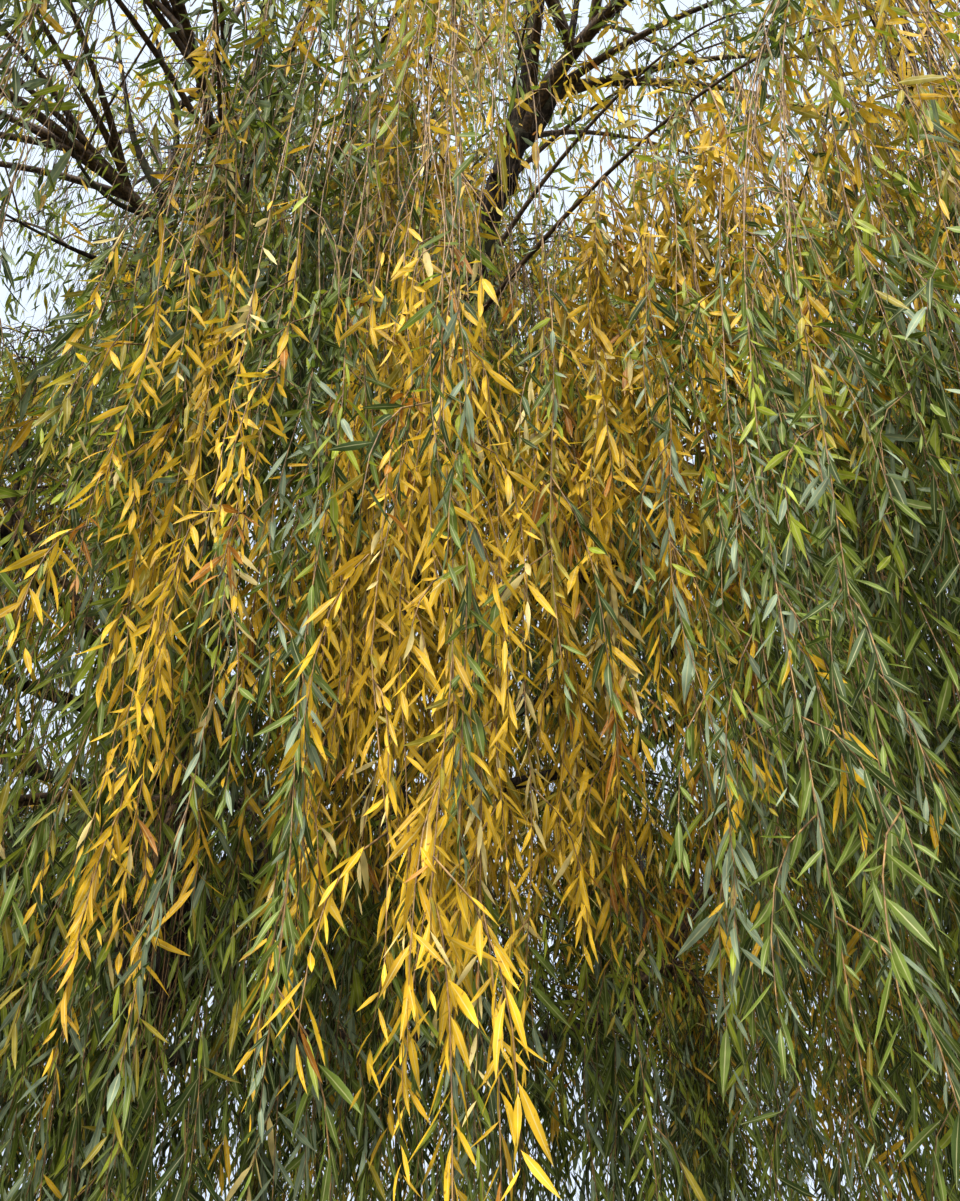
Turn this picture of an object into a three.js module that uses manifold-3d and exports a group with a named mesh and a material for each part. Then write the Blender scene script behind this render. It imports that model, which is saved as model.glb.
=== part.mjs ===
// A weeping willow in autumn, in millimetres, +Z up.
// The origin is the middle of the flat cut under the trunk, at ground level. -Y is the side it is seen from.
// The trunk forks into leaders. Boughs spring from the trunk and the leaders. Each limb ends where its mass
// of hanging foliage begins. A mass is one solid: stems arch out from the limb's tip, whips hang from the
// stems, and leaf sprays stand on the whips. One seeded rule places them all.

import * as THREE from 'three';
import { mergeVertices } from 'three/addons/utils/BufferGeometryUtils.js';
import Module from 'manifold-3d';

const wasm = await Module();
wasm.setup();
const { Manifold } = wasm;

// Driving dimensions. Azimuths are in degrees about the crown's own axis, from +X towards +Y.
const clearance = 0.3;
const crown = {
  height: 11000, reach: 5700, widest: 4500, axisX: 1200, axisY: -400,
  footShare: 0.92, dome: 2.2, broadWave: 0.03, fineWave: 0.02,
};
const trunk = {
  footRadius: 215, breastRadius: 168, forkRadius: 145, forkHeight: 3350, taperHeight: 2400,
  lean: 200, leanPower: 2.4, kink: -45, flareHeight: 330, flare: 1.6, buttresses: 5, buttressDepth: 0.2,
  headShare: 0.07, headNarrows: 0.4, sides: 15, rings: 9, ringPower: 1.5,
};

// Each leader rises from the trunk's head to a place on the crown. root and tip are its radii. out, lift and
// bow say how far it runs level, rises and bends sideways before it turns up.
const leaders = [
  {
    name: 'front_right', azimuth: 300, radius: 2950, height: 7950, root: 112, tip: 82,
    out: 0.8, lift: 0.3, bow: 750,
  },
  {
    name: 'front_left', azimuth: 242, radius: 2050, height: 7500, root: 92, tip: 66,
    out: 0.5, lift: 0.28, bow: 300,
  },
  {
    name: 'left', azimuth: 161, radius: 2300, height: 7600, root: 80, tip: 50,
    out: 0.6, lift: 0.26, bow: 150,
  },
  {
    name: 'back', azimuth: 89, radius: 2400, height: 7700, root: 86, tip: 54,
    out: 0.62, lift: 0.24, bow: -200,
  },
  {
    name: 'right', azimuth: 17, radius: 2500, height: 7600, root: 80, tip: 50,
    out: 0.6, lift: 0.3, bow: 200,
  },
];
const leaderRoots = { first: 0.94, step: 0.018 };

// One row for each ring of masses, with the boughs that carry them. from is the share of the leader that a
// bough springs at. lead, rise and drop shape the arch of the stems. throw is how far a whip swings out
// before it hangs, and longest is its greatest length. The last three are counts.
const rings = {
  skirt: {
    count: 10, first: 18, wedge: 36, inner: 2950, radius: 3250, height: 5250, from: [0.3, 0.42],
    root: 56, tip: 36,
    lead: 0.36, rise: 880, drop: 1000, throw: 260, longest: 3900, stems: 3, whips: 2, sprays: 3,
  },
  shoulder: {
    first: 305, wedge: 72, inner: 0,
    lead: 0.22, rise: 700, drop: 650, throw: 300, longest: 3000, stems: 4, whips: 2, sprays: 2,
  },
  crest: {
    count: 3, first: 60, wedge: 120, inner: 0, radius: 650, height: 10180, from: [0.7, 0.74],
    root: 46, tip: 28,
    lead: 0.32, rise: 1200, drop: 500, throw: 200, longest: 1900, stems: 4, whips: 2, sprays: 2,
  },
  inner: {
    azimuths: [53, 125, 201, 338], wedge: 60, inner: 250, radius: 1300, height: 6050, from: [0.52, 0.56],
    root: 40, tip: 24,
    lead: 0.4, rise: 450, drop: 600, throw: 200, longest: 2600, stems: 2, whips: 2, sprays: 2,
  },
};

// The low boughs spring from the trunk itself, at the height that springs gives.
const lowMass = {
  inner: 1700, lead: 0.5, rise: 200, drop: 800, throw: 180, longest: 1700, whips: 2, sprays: 2,
  out: 0.3, lift: 1.1,
};
const lowBoughs = [
  {
    name: 'low', azimuth: 8, wedge: 30, radius: 2300, height: 2950, springs: 2350,
    root: 58, tip: 30, stems: 2,
  },
  {
    name: 'low_front', azimuth: 268, wedge: 100, radius: 2350, height: 3040, springs: 2550,
    root: 84, tip: 46, stems: 3,
  },
];

// This bough of the skirt stands up at the crown's edge, further out than the others.
const uprightBough = { place: 8, azimuth: 318, radius: 4850, height: 5850, root: 66, tip: 42, rise: 450 };

const limb = {
  leaderSides: 8, leaderSteps: 7, boughSides: 6, boughSteps: 4, out: 0.35, lift: 0.35, turnIn: 0.3,
  taper: 1.15, collar: 0.25, collarEnds: 14, aroundTrunk: 40, aroundLimb: 25,
};
const stem = {
  steps: 5, mainSides: 4, sides: 3, mainShare: 0.94, sideShare: 0.55, fan: 0.84, innerEdge: 150,
  springs: 0.04, springsOver: 0.3, reach: 0.97, fall: 0.75, fallOver: 0.5,
  rise: 0.4, riseOver: 0.3, lateRise: 0.5,
};
const whip = {
  root: 20, tip: 9, steps: 2, shortest: 450, over: 0.82, first: 0.995, endSwing: 60, floorGap: 60,
  fall: 1.25, sway: 0.015, part: 0.5, swing: 0.3,
};
const spray = {
  length: 880, width: 210, thick: 24, widestAt: 0.36, sunk: 12, spread: 27, turn: 137.5,
  smallest: 0.82, first: 0.3, alone: 0.8, spacing: 1.7,
};

// The levels that part the masses: hem below, then a lower and an upper roof. Each slopes and waves.
const hem = { height: 1050, wave: 420 };
const lowerRoof = { height: 7060, from: 2000, slope: 0.25, wave: 250, turn: -2.5 };
const upperRoof = { height: 10240, slope: 0.42, wave: 30, turn: 1.9 };
const innerFloor = 3350;
const betweenLevels = 60;
const betweenRings = 70;
const edge = 25;
const seedOf = { skirt: 10, shoulder: 30, crest: 40, inner: 50, low: 60 };

const bark = { color: 0x4a3f35, roughness: 0.95, metalness: 0 };
const goldLeaves = { color: 0xc79a22, roughness: 0.7, metalness: 0 };
const greenLeaves = { color: 0x6f8140, roughness: 0.7, metalness: 0 };

const radians = THREE.MathUtils.degToRad;
const mix = THREE.MathUtils.lerp;

// A number from 0 to 1 that depends only on the mass, stem, whip and use that it is asked for.
function chance(mass, stem, hanging, use) {
  const wide = Math.sin(mass * 12.9898 + stem * 78.233 + hanging * 37.719 + use * 4.581) * 43758.5453;
  return wide - Math.floor(wide);
}

// 0, 1/2, 1/4, 3/4, 1/8 and so on: each finer step falls between the coarser ones.
function between(step) {
  let value = 0;
  let half = 0.5;
  for (let left = step; left > 0; left = Math.floor(left / 2)) {
    value += (left % 2) * half;
    half /= 2;
  }
  return value;
}

const crownPoint = (azimuth, radius, height) =>
  new THREE.Vector3(
    crown.axisX + radius * Math.cos(azimuth),
    crown.axisY + radius * Math.sin(azimuth),
    height,
  );

function crownPlace(point) {
  const x = point.x - crown.axisX;
  const y = point.y - crown.axisY;
  return { azimuth: Math.atan2(y, x), radius: Math.hypot(x, y), height: point.z };
}

const turnTo = (azimuth, centre) => Math.atan2(Math.sin(azimuth - centre), Math.cos(azimuth - centre));

// The crown's outline: a broad dome, drawn in a little at the foot, with slow waves round it.
function outline(height, azimuth) {
  const up = THREE.MathUtils.clamp((height - crown.widest) / (crown.height - crown.widest), 0, 1);
  const foot = mix(crown.footShare, 1, THREE.MathUtils.clamp(height / crown.widest, 0, 1));
  const waves = 1 + crown.broadWave * Math.sin(3 * azimuth + 0.5) + crown.fineWave * Math.sin(7 * azimuth + 2);
  return crown.reach * foot * Math.sqrt(1 - up ** crown.dome) * waves;
}

const hemAt = (azimuth) =>
  hem.height + hem.wave * (0.6 * Math.sin(5 * azimuth + 1) + 0.4 * Math.sin(11 * azimuth + 2.5));
const lowerRoofAt = (azimuth, radius) =>
  lowerRoof.height -
  lowerRoof.slope * (radius - lowerRoof.from) +
  lowerRoof.wave * Math.sin(3 * azimuth + lowerRoof.turn);
const upperRoofAt = (azimuth, radius) =>
  upperRoof.height - upperRoof.slope * radius + upperRoof.wave * Math.sin(2 * azimuth + upperRoof.turn);

// The space of each kind of mass, from a floor to a roof.
const levels = {
  skirt: { floor: hemAt, roof: lowerRoofAt, outer: Infinity },
  inner: { floor: () => innerFloor, roof: lowerRoofAt, outer: rings.skirt.inner - betweenRings },
  low: { floor: hemAt, roof: () => innerFloor - betweenLevels, outer: rings.skirt.inner - betweenRings },
  shoulder: {
    floor: (azimuth, radius) => lowerRoofAt(azimuth, radius) + betweenLevels,
    roof: upperRoofAt,
    outer: Infinity,
  },
  crest: {
    floor: (azimuth, radius) => upperRoofAt(azimuth, radius) + betweenLevels,
    roof: () => Infinity,
    outer: Infinity,
  },
};

function inSpace(point, mass) {
  const place = crownPlace(point);
  const level = levels[mass.kind];
  const turned = Math.abs(turnTo(place.azimuth, radians(mass.azimuth)));
  return (
    place.radius * Math.sin(radians(mass.wedge / 2) - turned) > edge &&
    place.radius >= mass.inner &&
    place.radius < level.outer &&
    place.height > level.floor(place.azimuth, place.radius) + edge &&
    place.height < level.roof(place.azimuth, place.radius) - edge
  );
}

class RulePath extends THREE.Curve {
  constructor(pointAt) {
    super();
    this.pointAt = pointAt;
  }

  getPoint(share, target = new THREE.Vector3()) {
    return target.copy(this.pointAt(share));
  }
}

// A cylinder, or a cone where it is pointed, bent along a path. radiusAt gives its radius at each share
// of the way and angle round it. level keeps its hoops flat, as on the trunk. before lengthens its root end.
function bent(path, radiusAt, sides, steps, { pointed = false, level = false, before = 0 } = {}) {
  const geometry = new THREE.CylinderGeometry(pointed ? 0 : 1, 1, 1, sides, steps);
  const hoops = [];
  let across = new THREE.Vector3(1, 0, 0);
  for (let step = 0; step <= steps; step++) {
    const share = step / steps;
    const along = level ? new THREE.Vector3(0, 0, 1) : path.getTangent(share);
    if (Math.abs(across.dot(along)) > 0.95) across = new THREE.Vector3(0, 1, 0);
    across = across.clone().addScaledVector(along, -across.dot(along)).normalize();
    const centre = path.getPoint(share).addScaledVector(along, step === 0 ? -before : 0);
    hoops.push({ centre, across, up: along.clone().cross(across) });
  }
  const position = geometry.getAttribute('position');
  for (let index = 0; index < position.count; index++) {
    const share = position.getY(index) + 0.5;
    const hoop = hoops[Math.round(share * steps)];
    const spoke = Math.hypot(position.getX(index), position.getZ(index));
    const angle = Math.atan2(-position.getZ(index), position.getX(index));
    const radius = spoke > 1e-6 ? radiusAt(share, angle) : 0;
    const point = hoop.centre
      .clone()
      .addScaledVector(hoop.across, radius * Math.cos(angle))
      .addScaledVector(hoop.up, radius * Math.sin(angle));
    position.setXYZ(index, point.x, point.y, point.z);
  }
  return geometry;
}

// The point on the straight-sided tube that bent makes of a path.
function onTube(path, steps, share) {
  const hoop = Math.min(steps - 1, Math.floor(share * steps));
  return path.getPoint(hoop / steps).lerp(path.getPoint((hoop + 1) / steps), share * steps - hoop);
}

function solidOf(geometry) {
  const bare = new THREE.BufferGeometry();
  bare.setAttribute('position', geometry.getAttribute('position'));
  bare.setIndex(geometry.index);
  const merged = mergeVertices(bare, 1e-3);
  return new Manifold(
    new wasm.Mesh({
      numProp: 3,
      vertProperties: new Float32Array(merged.getAttribute('position').array),
      triVerts: new Uint32Array(merged.index.array),
    }),
  );
}

function geometryOf(solid) {
  const mesh = solid.getMesh();
  const geometry = new THREE.BufferGeometry();
  geometry.setAttribute('position', new THREE.BufferAttribute(mesh.vertProperties, 3));
  geometry.setIndex(new THREE.BufferAttribute(mesh.triVerts, 1));
  geometry.computeVertexNormals();
  return geometry;
}

const largest = (solid) => solid.decompose().sort((a, b) => b.volume() - a.volume())[0];

// The trunk leans to the right above a slight kink. Its hoops stay level, and its root flare has buttresses.
const trunkHeightAt = (share) => trunk.forkHeight * share ** trunk.ringPower;

const trunkPath = new RulePath((share) => {
  const height = trunkHeightAt(share);
  const up = height / trunk.forkHeight;
  const kink = trunk.kink * Math.sin(Math.PI * Math.min(1, up * 1.5));
  return new THREE.Vector3(kink + trunk.lean * up ** trunk.leanPower, 0, height);
});

function trunkRadius(share, angle, extra) {
  const height = trunkHeightAt(share);
  const up = height / trunk.forkHeight;
  const body = mix(trunk.breastRadius, trunk.forkRadius, Math.min(1, height / trunk.taperHeight));
  const flare = Math.exp(-height / trunk.flareHeight);
  const foot = trunk.flare * (trunk.footRadius - trunk.breastRadius) * flare;
  const lobes = 1 + trunk.buttressDepth * flare * Math.cos(trunk.buttresses * angle);
  const head = 1 - trunk.headNarrows * Math.max(0, (up - 1 + trunk.headShare) / trunk.headShare);
  return (body + foot) * lobes * head + extra;
}

function trunkSolid(extra = 0) {
  const radiusAt = (share, angle) => trunkRadius(share, angle, extra);
  return solidOf(bent(trunkPath, radiusAt, trunk.sides, trunk.rings, { level: true }));
}

// A limb tapers from a collar at its root to the end where its mass begins.
const limbRadius = ({ root, tip }, share) =>
  tip + (root - tip) * (1 - share) ** limb.taper + limb.collar * root * Math.exp(-share * limb.collarEnds);

function limbSolid(made, extra = 0) {
  const radiusAt = (share) => limbRadius(made, share) + extra;
  return solidOf(bent(made.path, radiusAt, made.sides, made.steps, { before: extra }));
}

// A limb's path bows out from its root and comes to its end in the direction that its stem goes on in.
function limbPath(root, end, onward, { out, lift, bow = 0 }) {
  const run = end.clone().sub(root);
  const level = new THREE.Vector3(run.x, run.y, 0);
  const sideways = new THREE.Vector3(-run.y, run.x, 0).normalize();
  const first = root.clone().addScaledVector(level, out).addScaledVector(sideways, bow);
  first.z += lift * run.z;
  const last = end.clone().addScaledVector(onward, -limb.turnIn * run.length());
  return new THREE.CubicBezierCurve3(root, first, last, end);
}

// Stem 1 goes on from the limb. The others spring from it and fan out to both sides of the space.
// Radius and height each follow a cubic curve, and the azimuth turns quickly at first.
function stemPath(mass, number, main) {
  const random = (use) => chance(mass.seed, number, 0, use);
  const springs = stem.springs + stem.springsOver * random(1);
  const start = number === 1 ? mass.start : crownPlace(onTube(main, stem.steps, springs));
  const endHeight = start.height - mass.drop * (stem.fall + stem.fallOver * random(3));
  const endAzimuth = radians(mass.azimuth + mass.wedge * stem.fan * (between(number) - 0.5));
  const outermost = Math.min(levels[mass.kind].outer - stem.innerEdge, outline(endHeight, endAzimuth));
  const endRadius = stem.reach * outermost;
  const rise = mass.rise * (number === 1 ? 1 : stem.rise + stem.riseOver * random(4));
  const nextRadius = mix(start.radius, endRadius, mass.lead);
  const turn = turnTo(endAzimuth, start.azimuth);
  return new RulePath((share) => {
    const back = 1 - share;
    const begin = back ** 3;
    const early = 3 * back ** 2 * share;
    const late = 3 * back * share ** 2;
    const end = share ** 3;
    const radius = start.radius * begin + nextRadius * early + endRadius * (late + end);
    const lifted = rise * (early + stem.lateRise * late);
    const height = start.height * (begin + early + late) + lifted + endHeight * end;
    return crownPoint(start.azimuth + turn * Math.sin((share * Math.PI) / 2), radius, height);
  });
}

// A whip swings out from its stem and then hangs. Whip 0 goes on from the stem's end.
function whipPath(mass, number, hanging, path) {
  const random = (use) => chance(mass.seed, number, hanging, use);
  const from = onTube(path, stem.steps, whip.first - whip.over * between(hanging));
  const place = crownPlace(from);
  const part = hanging === 0 ? 1 : whip.part + (1 - whip.part) * random(3);
  const heading = 2 * Math.PI * random(1);
  const swing = hanging === 0 ? whip.endSwing : mass.throw * (whip.swing + (1 - whip.swing) * random(2));
  const floor = levels[mass.kind].floor(place.azimuth, place.radius) + whip.floorGap + swing / 2;
  const length = Math.min(mass.longest, from.z - floor) * part;
  const sway = whip.sway * length * Math.cos(2 * Math.PI * random(4));
  const hung = new RulePath((share) => {
    const out = swing * (1 - (1 - share) ** 3) + sway * Math.sin(1.5 * Math.PI * share);
    return new THREE.Vector3(
      from.x + out * Math.cos(heading),
      from.y + out * Math.sin(heading),
      from.z - length * share ** whip.fall,
    );
  });
  hung.length = length;
  return hung;
}

// A leaf spray is a long octahedron, widest towards its root, which is sunk into the whip.
function sprayGeometry(root, direction, facing, size) {
  const geometry = new THREE.OctahedronGeometry(1);
  const position = geometry.getAttribute('position');
  for (let index = 0; index < position.count; index++) {
    const y = position.getY(index);
    const share = y < 0 ? spray.widestAt * (1 + y) : mix(spray.widestAt, 1, y);
    position.setXYZ(
      index,
      (position.getX(index) * spray.width * size) / 2,
      share * spray.length * size - spray.sunk,
      (position.getZ(index) * spray.thick) / 2,
    );
  }
  const across = new THREE.Vector3(-Math.sin(facing), Math.cos(facing), 0);
  const basis = new THREE.Matrix4().makeBasis(across, direction, across.clone().cross(direction));
  return geometry.applyMatrix4(basis.setPosition(root));
}

// Sprays turn round the whip from one to the next and point down and out. Their tips stop at the whip's end.
function spraysOn(hung, mass, number, hanging) {
  const random = (use) => chance(mass.seed, number, hanging, use);
  const made = [];
  const fits = hung.length / spray.length;
  const room = Math.max(0.05, 1 - 0.95 / fits);
  const count = THREE.MathUtils.clamp(Math.round(fits - spray.spacing + 1), 1, mass.sprays);
  const spread = Math.tan(radians(spray.spread));
  for (let place = 0; place < count; place++) {
    const size = Math.min(mix(spray.smallest, 1, random(10 + place)), fits);
    const share = room * (count === 1 ? spray.alone : mix(spray.first, 1, place / (count - 1)));
    const facing = radians(spray.turn * place + 360 * random(20));
    const direction = new THREE.Vector3(spread * Math.cos(facing), spread * Math.sin(facing), -1).normalize();
    made.push(solidOf(sprayGeometry(onTube(hung, whip.steps, share ** 0.9), direction, facing, size)));
  }
  return made;
}

function verticesOf(solid) {
  const mesh = solid.getMesh();
  const points = [];
  for (let index = 0; index < mesh.numVert; index++) {
    points.push(new THREE.Vector3().fromArray(mesh.vertProperties, index * mesh.numProp));
  }
  return points;
}

// A side stem, whip or spray that leaves the mass's space or comes near a limb is left out.
const keeps = (solid, mass, nearLimbs) =>
  verticesOf(solid).every((point) => inSpace(point, mass)) && solid.intersect(nearLimbs).isEmpty();

function stemSolid(mass, number, path) {
  const thick = mass.tip * (number === 1 ? stem.mainShare : stem.sideShare);
  const sides = number === 1 ? stem.mainSides : stem.sides;
  return solidOf(bent(path, (share) => mix(thick, whip.root, share), sides, stem.steps, { pointed: true }));
}

const whipSolid = (hung) =>
  solidOf(bent(hung, (share) => mix(whip.root, whip.tip, share), 3, whip.steps, { pointed: true }));

function massSolid(mass, nearLimbs) {
  const kept = [];
  for (let number = 1; number <= mass.stems; number++) {
    const path = number === 1 ? mass.main : stemPath(mass, number, mass.main);
    const arched = stemSolid(mass, number, path);
    if (number > 1 && !keeps(arched, mass, nearLimbs)) continue;
    kept.push(arched);
    for (let hanging = 0; hanging < mass.whips; hanging++) {
      const hung = whipPath(mass, number, hanging, path);
      if (hung.length < whip.shortest) continue;
      const line = whipSolid(hung);
      if (!keeps(line, mass, nearLimbs)) continue;
      kept.push(line, ...spraysOn(hung, mass, number, hanging).filter((leaf) => keeps(leaf, mass, nearLimbs)));
    }
  }
  return Manifold.union(kept);
}

// A mass and its main stem, which starts clear of the limb's end in the direction that the limb comes in.
function newMass(kind, name, sizes, seed, azimuth, end) {
  const mass = { ...sizes, kind, name, seed, azimuth };
  mass.start = crownPlace(end);
  mass.onward = stemPath(mass, 1).getTangent(0);
  mass.start = crownPlace(end.clone().addScaledVector(mass.onward, clearance));
  mass.main = stemPath(mass, 1);
  return mass;
}

const turnedFrom = (azimuth) => (leader) => Math.abs(turnTo(radians(leader.azimuth), radians(azimuth)));

function nearestLeader(azimuth) {
  const turned = turnedFrom(azimuth);
  return leaders.reduce((best, leader) => (turned(leader) < turned(best) ? leader : best));
}

const masses = [];
const limbs = [];

leaders.forEach((leader, place) => {
  const end = crownPoint(radians(leader.azimuth), leader.radius, leader.height);
  const sizes = { ...rings.shoulder, tip: leader.tip };
  const azimuth = sizes.first - sizes.wedge * place;
  const mass = newMass('shoulder', leader.name, sizes, seedOf.shoulder + place, azimuth, end);
  const root = trunkPath.getPoint(leaderRoots.first - leaderRoots.step * place);
  leader.path = limbPath(root, end, mass.onward, leader);
  masses.push(mass);
  limbs.push({ ...leader, name: `leader_${leader.name}`, sides: limb.leaderSides, steps: limb.leaderSteps });
});

function addRing(kind) {
  const ring = rings[kind];
  const evenly = () => Array.from({ length: ring.count }, (_, place) => ring.first + ring.wedge * place);
  (ring.azimuths ?? evenly()).forEach((azimuth, place) => {
    const upright = kind === 'skirt' && place === uprightBough.place;
    const seed = seedOf[kind] + place;
    const sizes = {
      ...ring,
      azimuth,
      radius: ring.radius * (0.94 + 0.12 * chance(seed, 0, 0, 1)),
      height: ring.height + 300 * (chance(seed, 0, 0, 2) - 0.5),
      ...(upright ? uprightBough : {}),
    };
    const end = crownPoint(radians(sizes.azimuth), sizes.radius, sizes.height);
    const mass = newMass(kind, `${kind}_${place + 1}`, sizes, seed, azimuth, end);
    const root = nearestLeader(azimuth).path.getPoint(ring.from[place % 2]);
    const path = limbPath(root, end, mass.onward, limb);
    masses.push(mass);
    limbs.push({ ...sizes, name: `bough_${mass.name}`, path, sides: limb.boughSides, steps: limb.boughSteps });
  });
}

function addLowBough(low, place) {
  const end = crownPoint(radians(low.azimuth), low.radius, low.height);
  const mass = newMass('low', low.name, { ...lowMass, ...low }, seedOf.low + place, low.azimuth, end);
  const root = trunkPath.getPoint((low.springs / trunk.forkHeight) ** (1 / trunk.ringPower));
  const path = limbPath(root, end, mass.onward, lowMass);
  masses.push(mass);
  limbs.push({ ...low, name: `bough_${low.name}`, path, sides: limb.boughSides, steps: limb.boughSteps });
}

addRing('skirt');
addRing('inner');
addRing('crest');
lowBoughs.forEach(addLowBough);

const willow = new THREE.Group();
willow.name = 'weeping_willow';

function addNode(name, solid, looks) {
  const mesh = new THREE.Mesh(geometryOf(solid), new THREE.MeshStandardMaterial(looks));
  mesh.name = name;
  willow.add(mesh);
}

addNode('trunk', trunkSolid(), bark);

// Each limb is cut clear of the trunk and of every limb before it, and keeps its largest part.
let taken = trunkSolid(clearance);
let nearLimbs = trunkSolid(limb.aroundTrunk);
for (const made of limbs) {
  addNode(made.name, largest(limbSolid(made).subtract(taken)), bark);
  taken = taken.add(limbSolid(made, clearance));
  nearLimbs = nearLimbs.add(limbSolid(made, limb.aroundLimb));
}
for (const mass of masses) {
  const looks = chance(mass.seed, 0, 0, 9) < 0.5 ? goldLeaves : greenLeaves;
  addNode(`foliage_${mass.name}`, largest(massSolid(mass, nearLimbs).subtract(taken)), looks);
}

export default willow;
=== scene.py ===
import math
from functools import partial

import bpy
import numpy as np
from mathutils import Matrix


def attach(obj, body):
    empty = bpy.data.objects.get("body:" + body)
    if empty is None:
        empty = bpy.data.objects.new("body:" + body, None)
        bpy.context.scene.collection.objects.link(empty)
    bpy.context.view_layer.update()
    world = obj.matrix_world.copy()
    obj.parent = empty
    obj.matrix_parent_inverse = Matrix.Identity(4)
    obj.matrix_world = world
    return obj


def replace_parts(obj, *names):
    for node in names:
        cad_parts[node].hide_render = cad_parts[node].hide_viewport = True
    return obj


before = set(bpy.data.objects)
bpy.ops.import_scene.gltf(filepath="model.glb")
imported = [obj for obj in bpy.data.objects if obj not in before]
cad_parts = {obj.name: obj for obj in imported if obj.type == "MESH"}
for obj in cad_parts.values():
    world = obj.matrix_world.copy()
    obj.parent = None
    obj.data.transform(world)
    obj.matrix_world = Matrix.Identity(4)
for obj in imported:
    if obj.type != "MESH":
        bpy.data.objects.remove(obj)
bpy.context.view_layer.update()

# A weeping willow in autumn, seen from just outside its curtain of hanging twigs. Metres, +Z up.
# The limbs follow the same curves as the solids, and each mass of foliage is grown on from its limb by the
# solids' rule, with more stems, more whips, side shoots and leaves.

crown = {
    "height": 11.0, "reach": 5.7, "widest": 4.5, "axisX": 1.2, "axisY": -0.4,
    "footShare": 0.92, "dome": 2.2, "broadWave": 0.03, "fineWave": 0.02,
}
levels = {
    "hem": 1.05, "hemWave": 0.42, "inner": 3.35, "overRoof": 0.06,
    "shoulder": {"height": 7.06, "from": 2.0, "slope": 0.25, "wave": 0.25, "waves": 3, "turn": -2.5},
    "crest": {"height": 10.24, "from": 0.0, "slope": 0.42, "wave": 0.03, "waves": 2, "turn": 1.9},
}
# The photograph's camera. lens is its focal length for a frame 36 mm high, and focal the same in pixels.
viewer = {
    "position": (2.4, -6.8, 1.6), "pitch": 33.0, "focal": 963.0, "frame": (960, 1201), "lens": 28.87,
    "sensor": 36.0, "closest": 0.05, "margin": 120, "outOfFrame": 3.5, "look": "Medium High Contrast",
}
fullTurn = 6.28  # radians


def mix(a, b, share):
    # A value on the way from a to b: a plus the share of their difference.
    return a + (b - a) * share


def chance(mass, stem, hanging, use):
    # A number from 0 to 1 that depends only on its four keys: the fraction of a long sine.
    wide = np.sin(mass * 12.9898 + stem * 78.233 + hanging * 37.719 + use * 4.581) * 43758.5453
    return wide - np.floor(wide)


def between(step):
    # 0, 1/2, 1/4, 3/4, 1/8: the step's binary digits mirrored behind the point.
    step, value, half = np.asarray(step), 0.0, 0.5
    while np.any(step):
        value = value + (step % 2) * half
        step, half = step // 2, half / 2
    return value


def lengthOf(vectors):
    # The root of the sum of the squares of each vector's parts.
    return np.linalg.norm(vectors, axis=-1)


def unit(vectors):
    # Each vector divided by its length.
    return vectors / np.maximum(lengthOf(vectors)[..., None], 1e-9)


def crownPoint(azimuth, radius, height):
    # The crown's axis, plus the radius turned to the azimuth, at the height.
    azimuth, radius, height = np.broadcast_arrays(azimuth, radius, height)
    x = crown["axisX"] + radius * np.cos(azimuth)
    y = crown["axisY"] + radius * np.sin(azimuth)
    return np.stack([x, y, height], -1)


def crownPlace(points):
    # The azimuth, radius and height of points about the crown's axis.
    x, y = points[..., 0] - crown["axisX"], points[..., 1] - crown["axisY"]
    return np.arctan2(y, x), np.hypot(x, y), points[..., 2]


def turnTo(azimuth, centre):
    # The shortest turn from centre to azimuth.
    return np.arctan2(np.sin(azimuth - centre), np.cos(azimuth - centre))


def outline(height, azimuth):
    # The crown's radius: a dome over its widest level, drawn in at the foot, with slow waves round it.
    up = np.clip((height - crown["widest"]) / (crown["height"] - crown["widest"]), 0, 1)
    foot = mix(crown["footShare"], 1, np.clip(height / crown["widest"], 0, 1))
    waves = 1 + crown["broadWave"] * np.sin(3 * azimuth + 0.5) + crown["fineWave"] * np.sin(7 * azimuth + 2)
    return crown["reach"] * foot * np.sqrt(1 - up ** crown["dome"]) * waves


def floorAt(kind, azimuth, radius):
    # The level that a kind of mass hangs down to: the inner masses' own, just above a roof that slopes
    # outwards and waves round the crown, or else the curtains' hem, which has two waves.
    if kind == "inner":
        return levels["inner"] + 0 * azimuth
    if kind in ("shoulder", "crest"):
        roof = levels[kind]
        wave = roof["wave"] * np.sin(roof["waves"] * azimuth + roof["turn"])
        return roof["height"] - roof["slope"] * (radius - roof["from"]) + wave + levels["overRoof"]
    waves = 0.6 * np.sin(5 * azimuth + 1) + 0.4 * np.sin(11 * azimuth + 2.5)
    return levels["hem"] + levels["hemWave"] * waves


def seenAt(points):
    # Where points fall in the photograph, in pixels across and down, and how far they are from the viewer.
    pitch = math.radians(viewer["pitch"])
    offset = points - np.array(viewer["position"])
    ahead = offset[..., 1] * math.cos(pitch) + offset[..., 2] * math.sin(pitch)
    below = offset[..., 1] * math.sin(pitch) - offset[..., 2] * math.cos(pitch)
    ahead = np.where(ahead > viewer["closest"], ahead, viewer["closest"])
    places = viewer["focal"] * np.stack([offset[..., 0], below], -1) / ahead[..., None]
    return np.array(viewer["frame"]) / 2 + places, lengthOf(offset)


def nearness(points):
    # How far points are from the viewer, in metres, and a further 3.5 m where they are well out of the frame.
    places, distance = seenAt(points)
    inside = (places > -viewer["margin"]) & (places < np.array(viewer["frame"]) + viewer["margin"])
    return distance + np.where(inside.all(-1), 0, viewer["outOfFrame"])


def ovalDistance(places, at, size):
    # The sum of the squares of the offsets from an oval's middle over its half sizes: 1 at its edge.
    return (((places - np.array(at)) / np.array(size)) ** 2).sum(-1)


def dealt(count):
    # When each owner gets its count of things: whose each thing is, and its number there.
    owner = np.repeat(np.arange(len(count)), count)
    return owner, np.arange(len(owner)) - np.repeat(np.cumsum(count) - count, count)


# Materials

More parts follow.
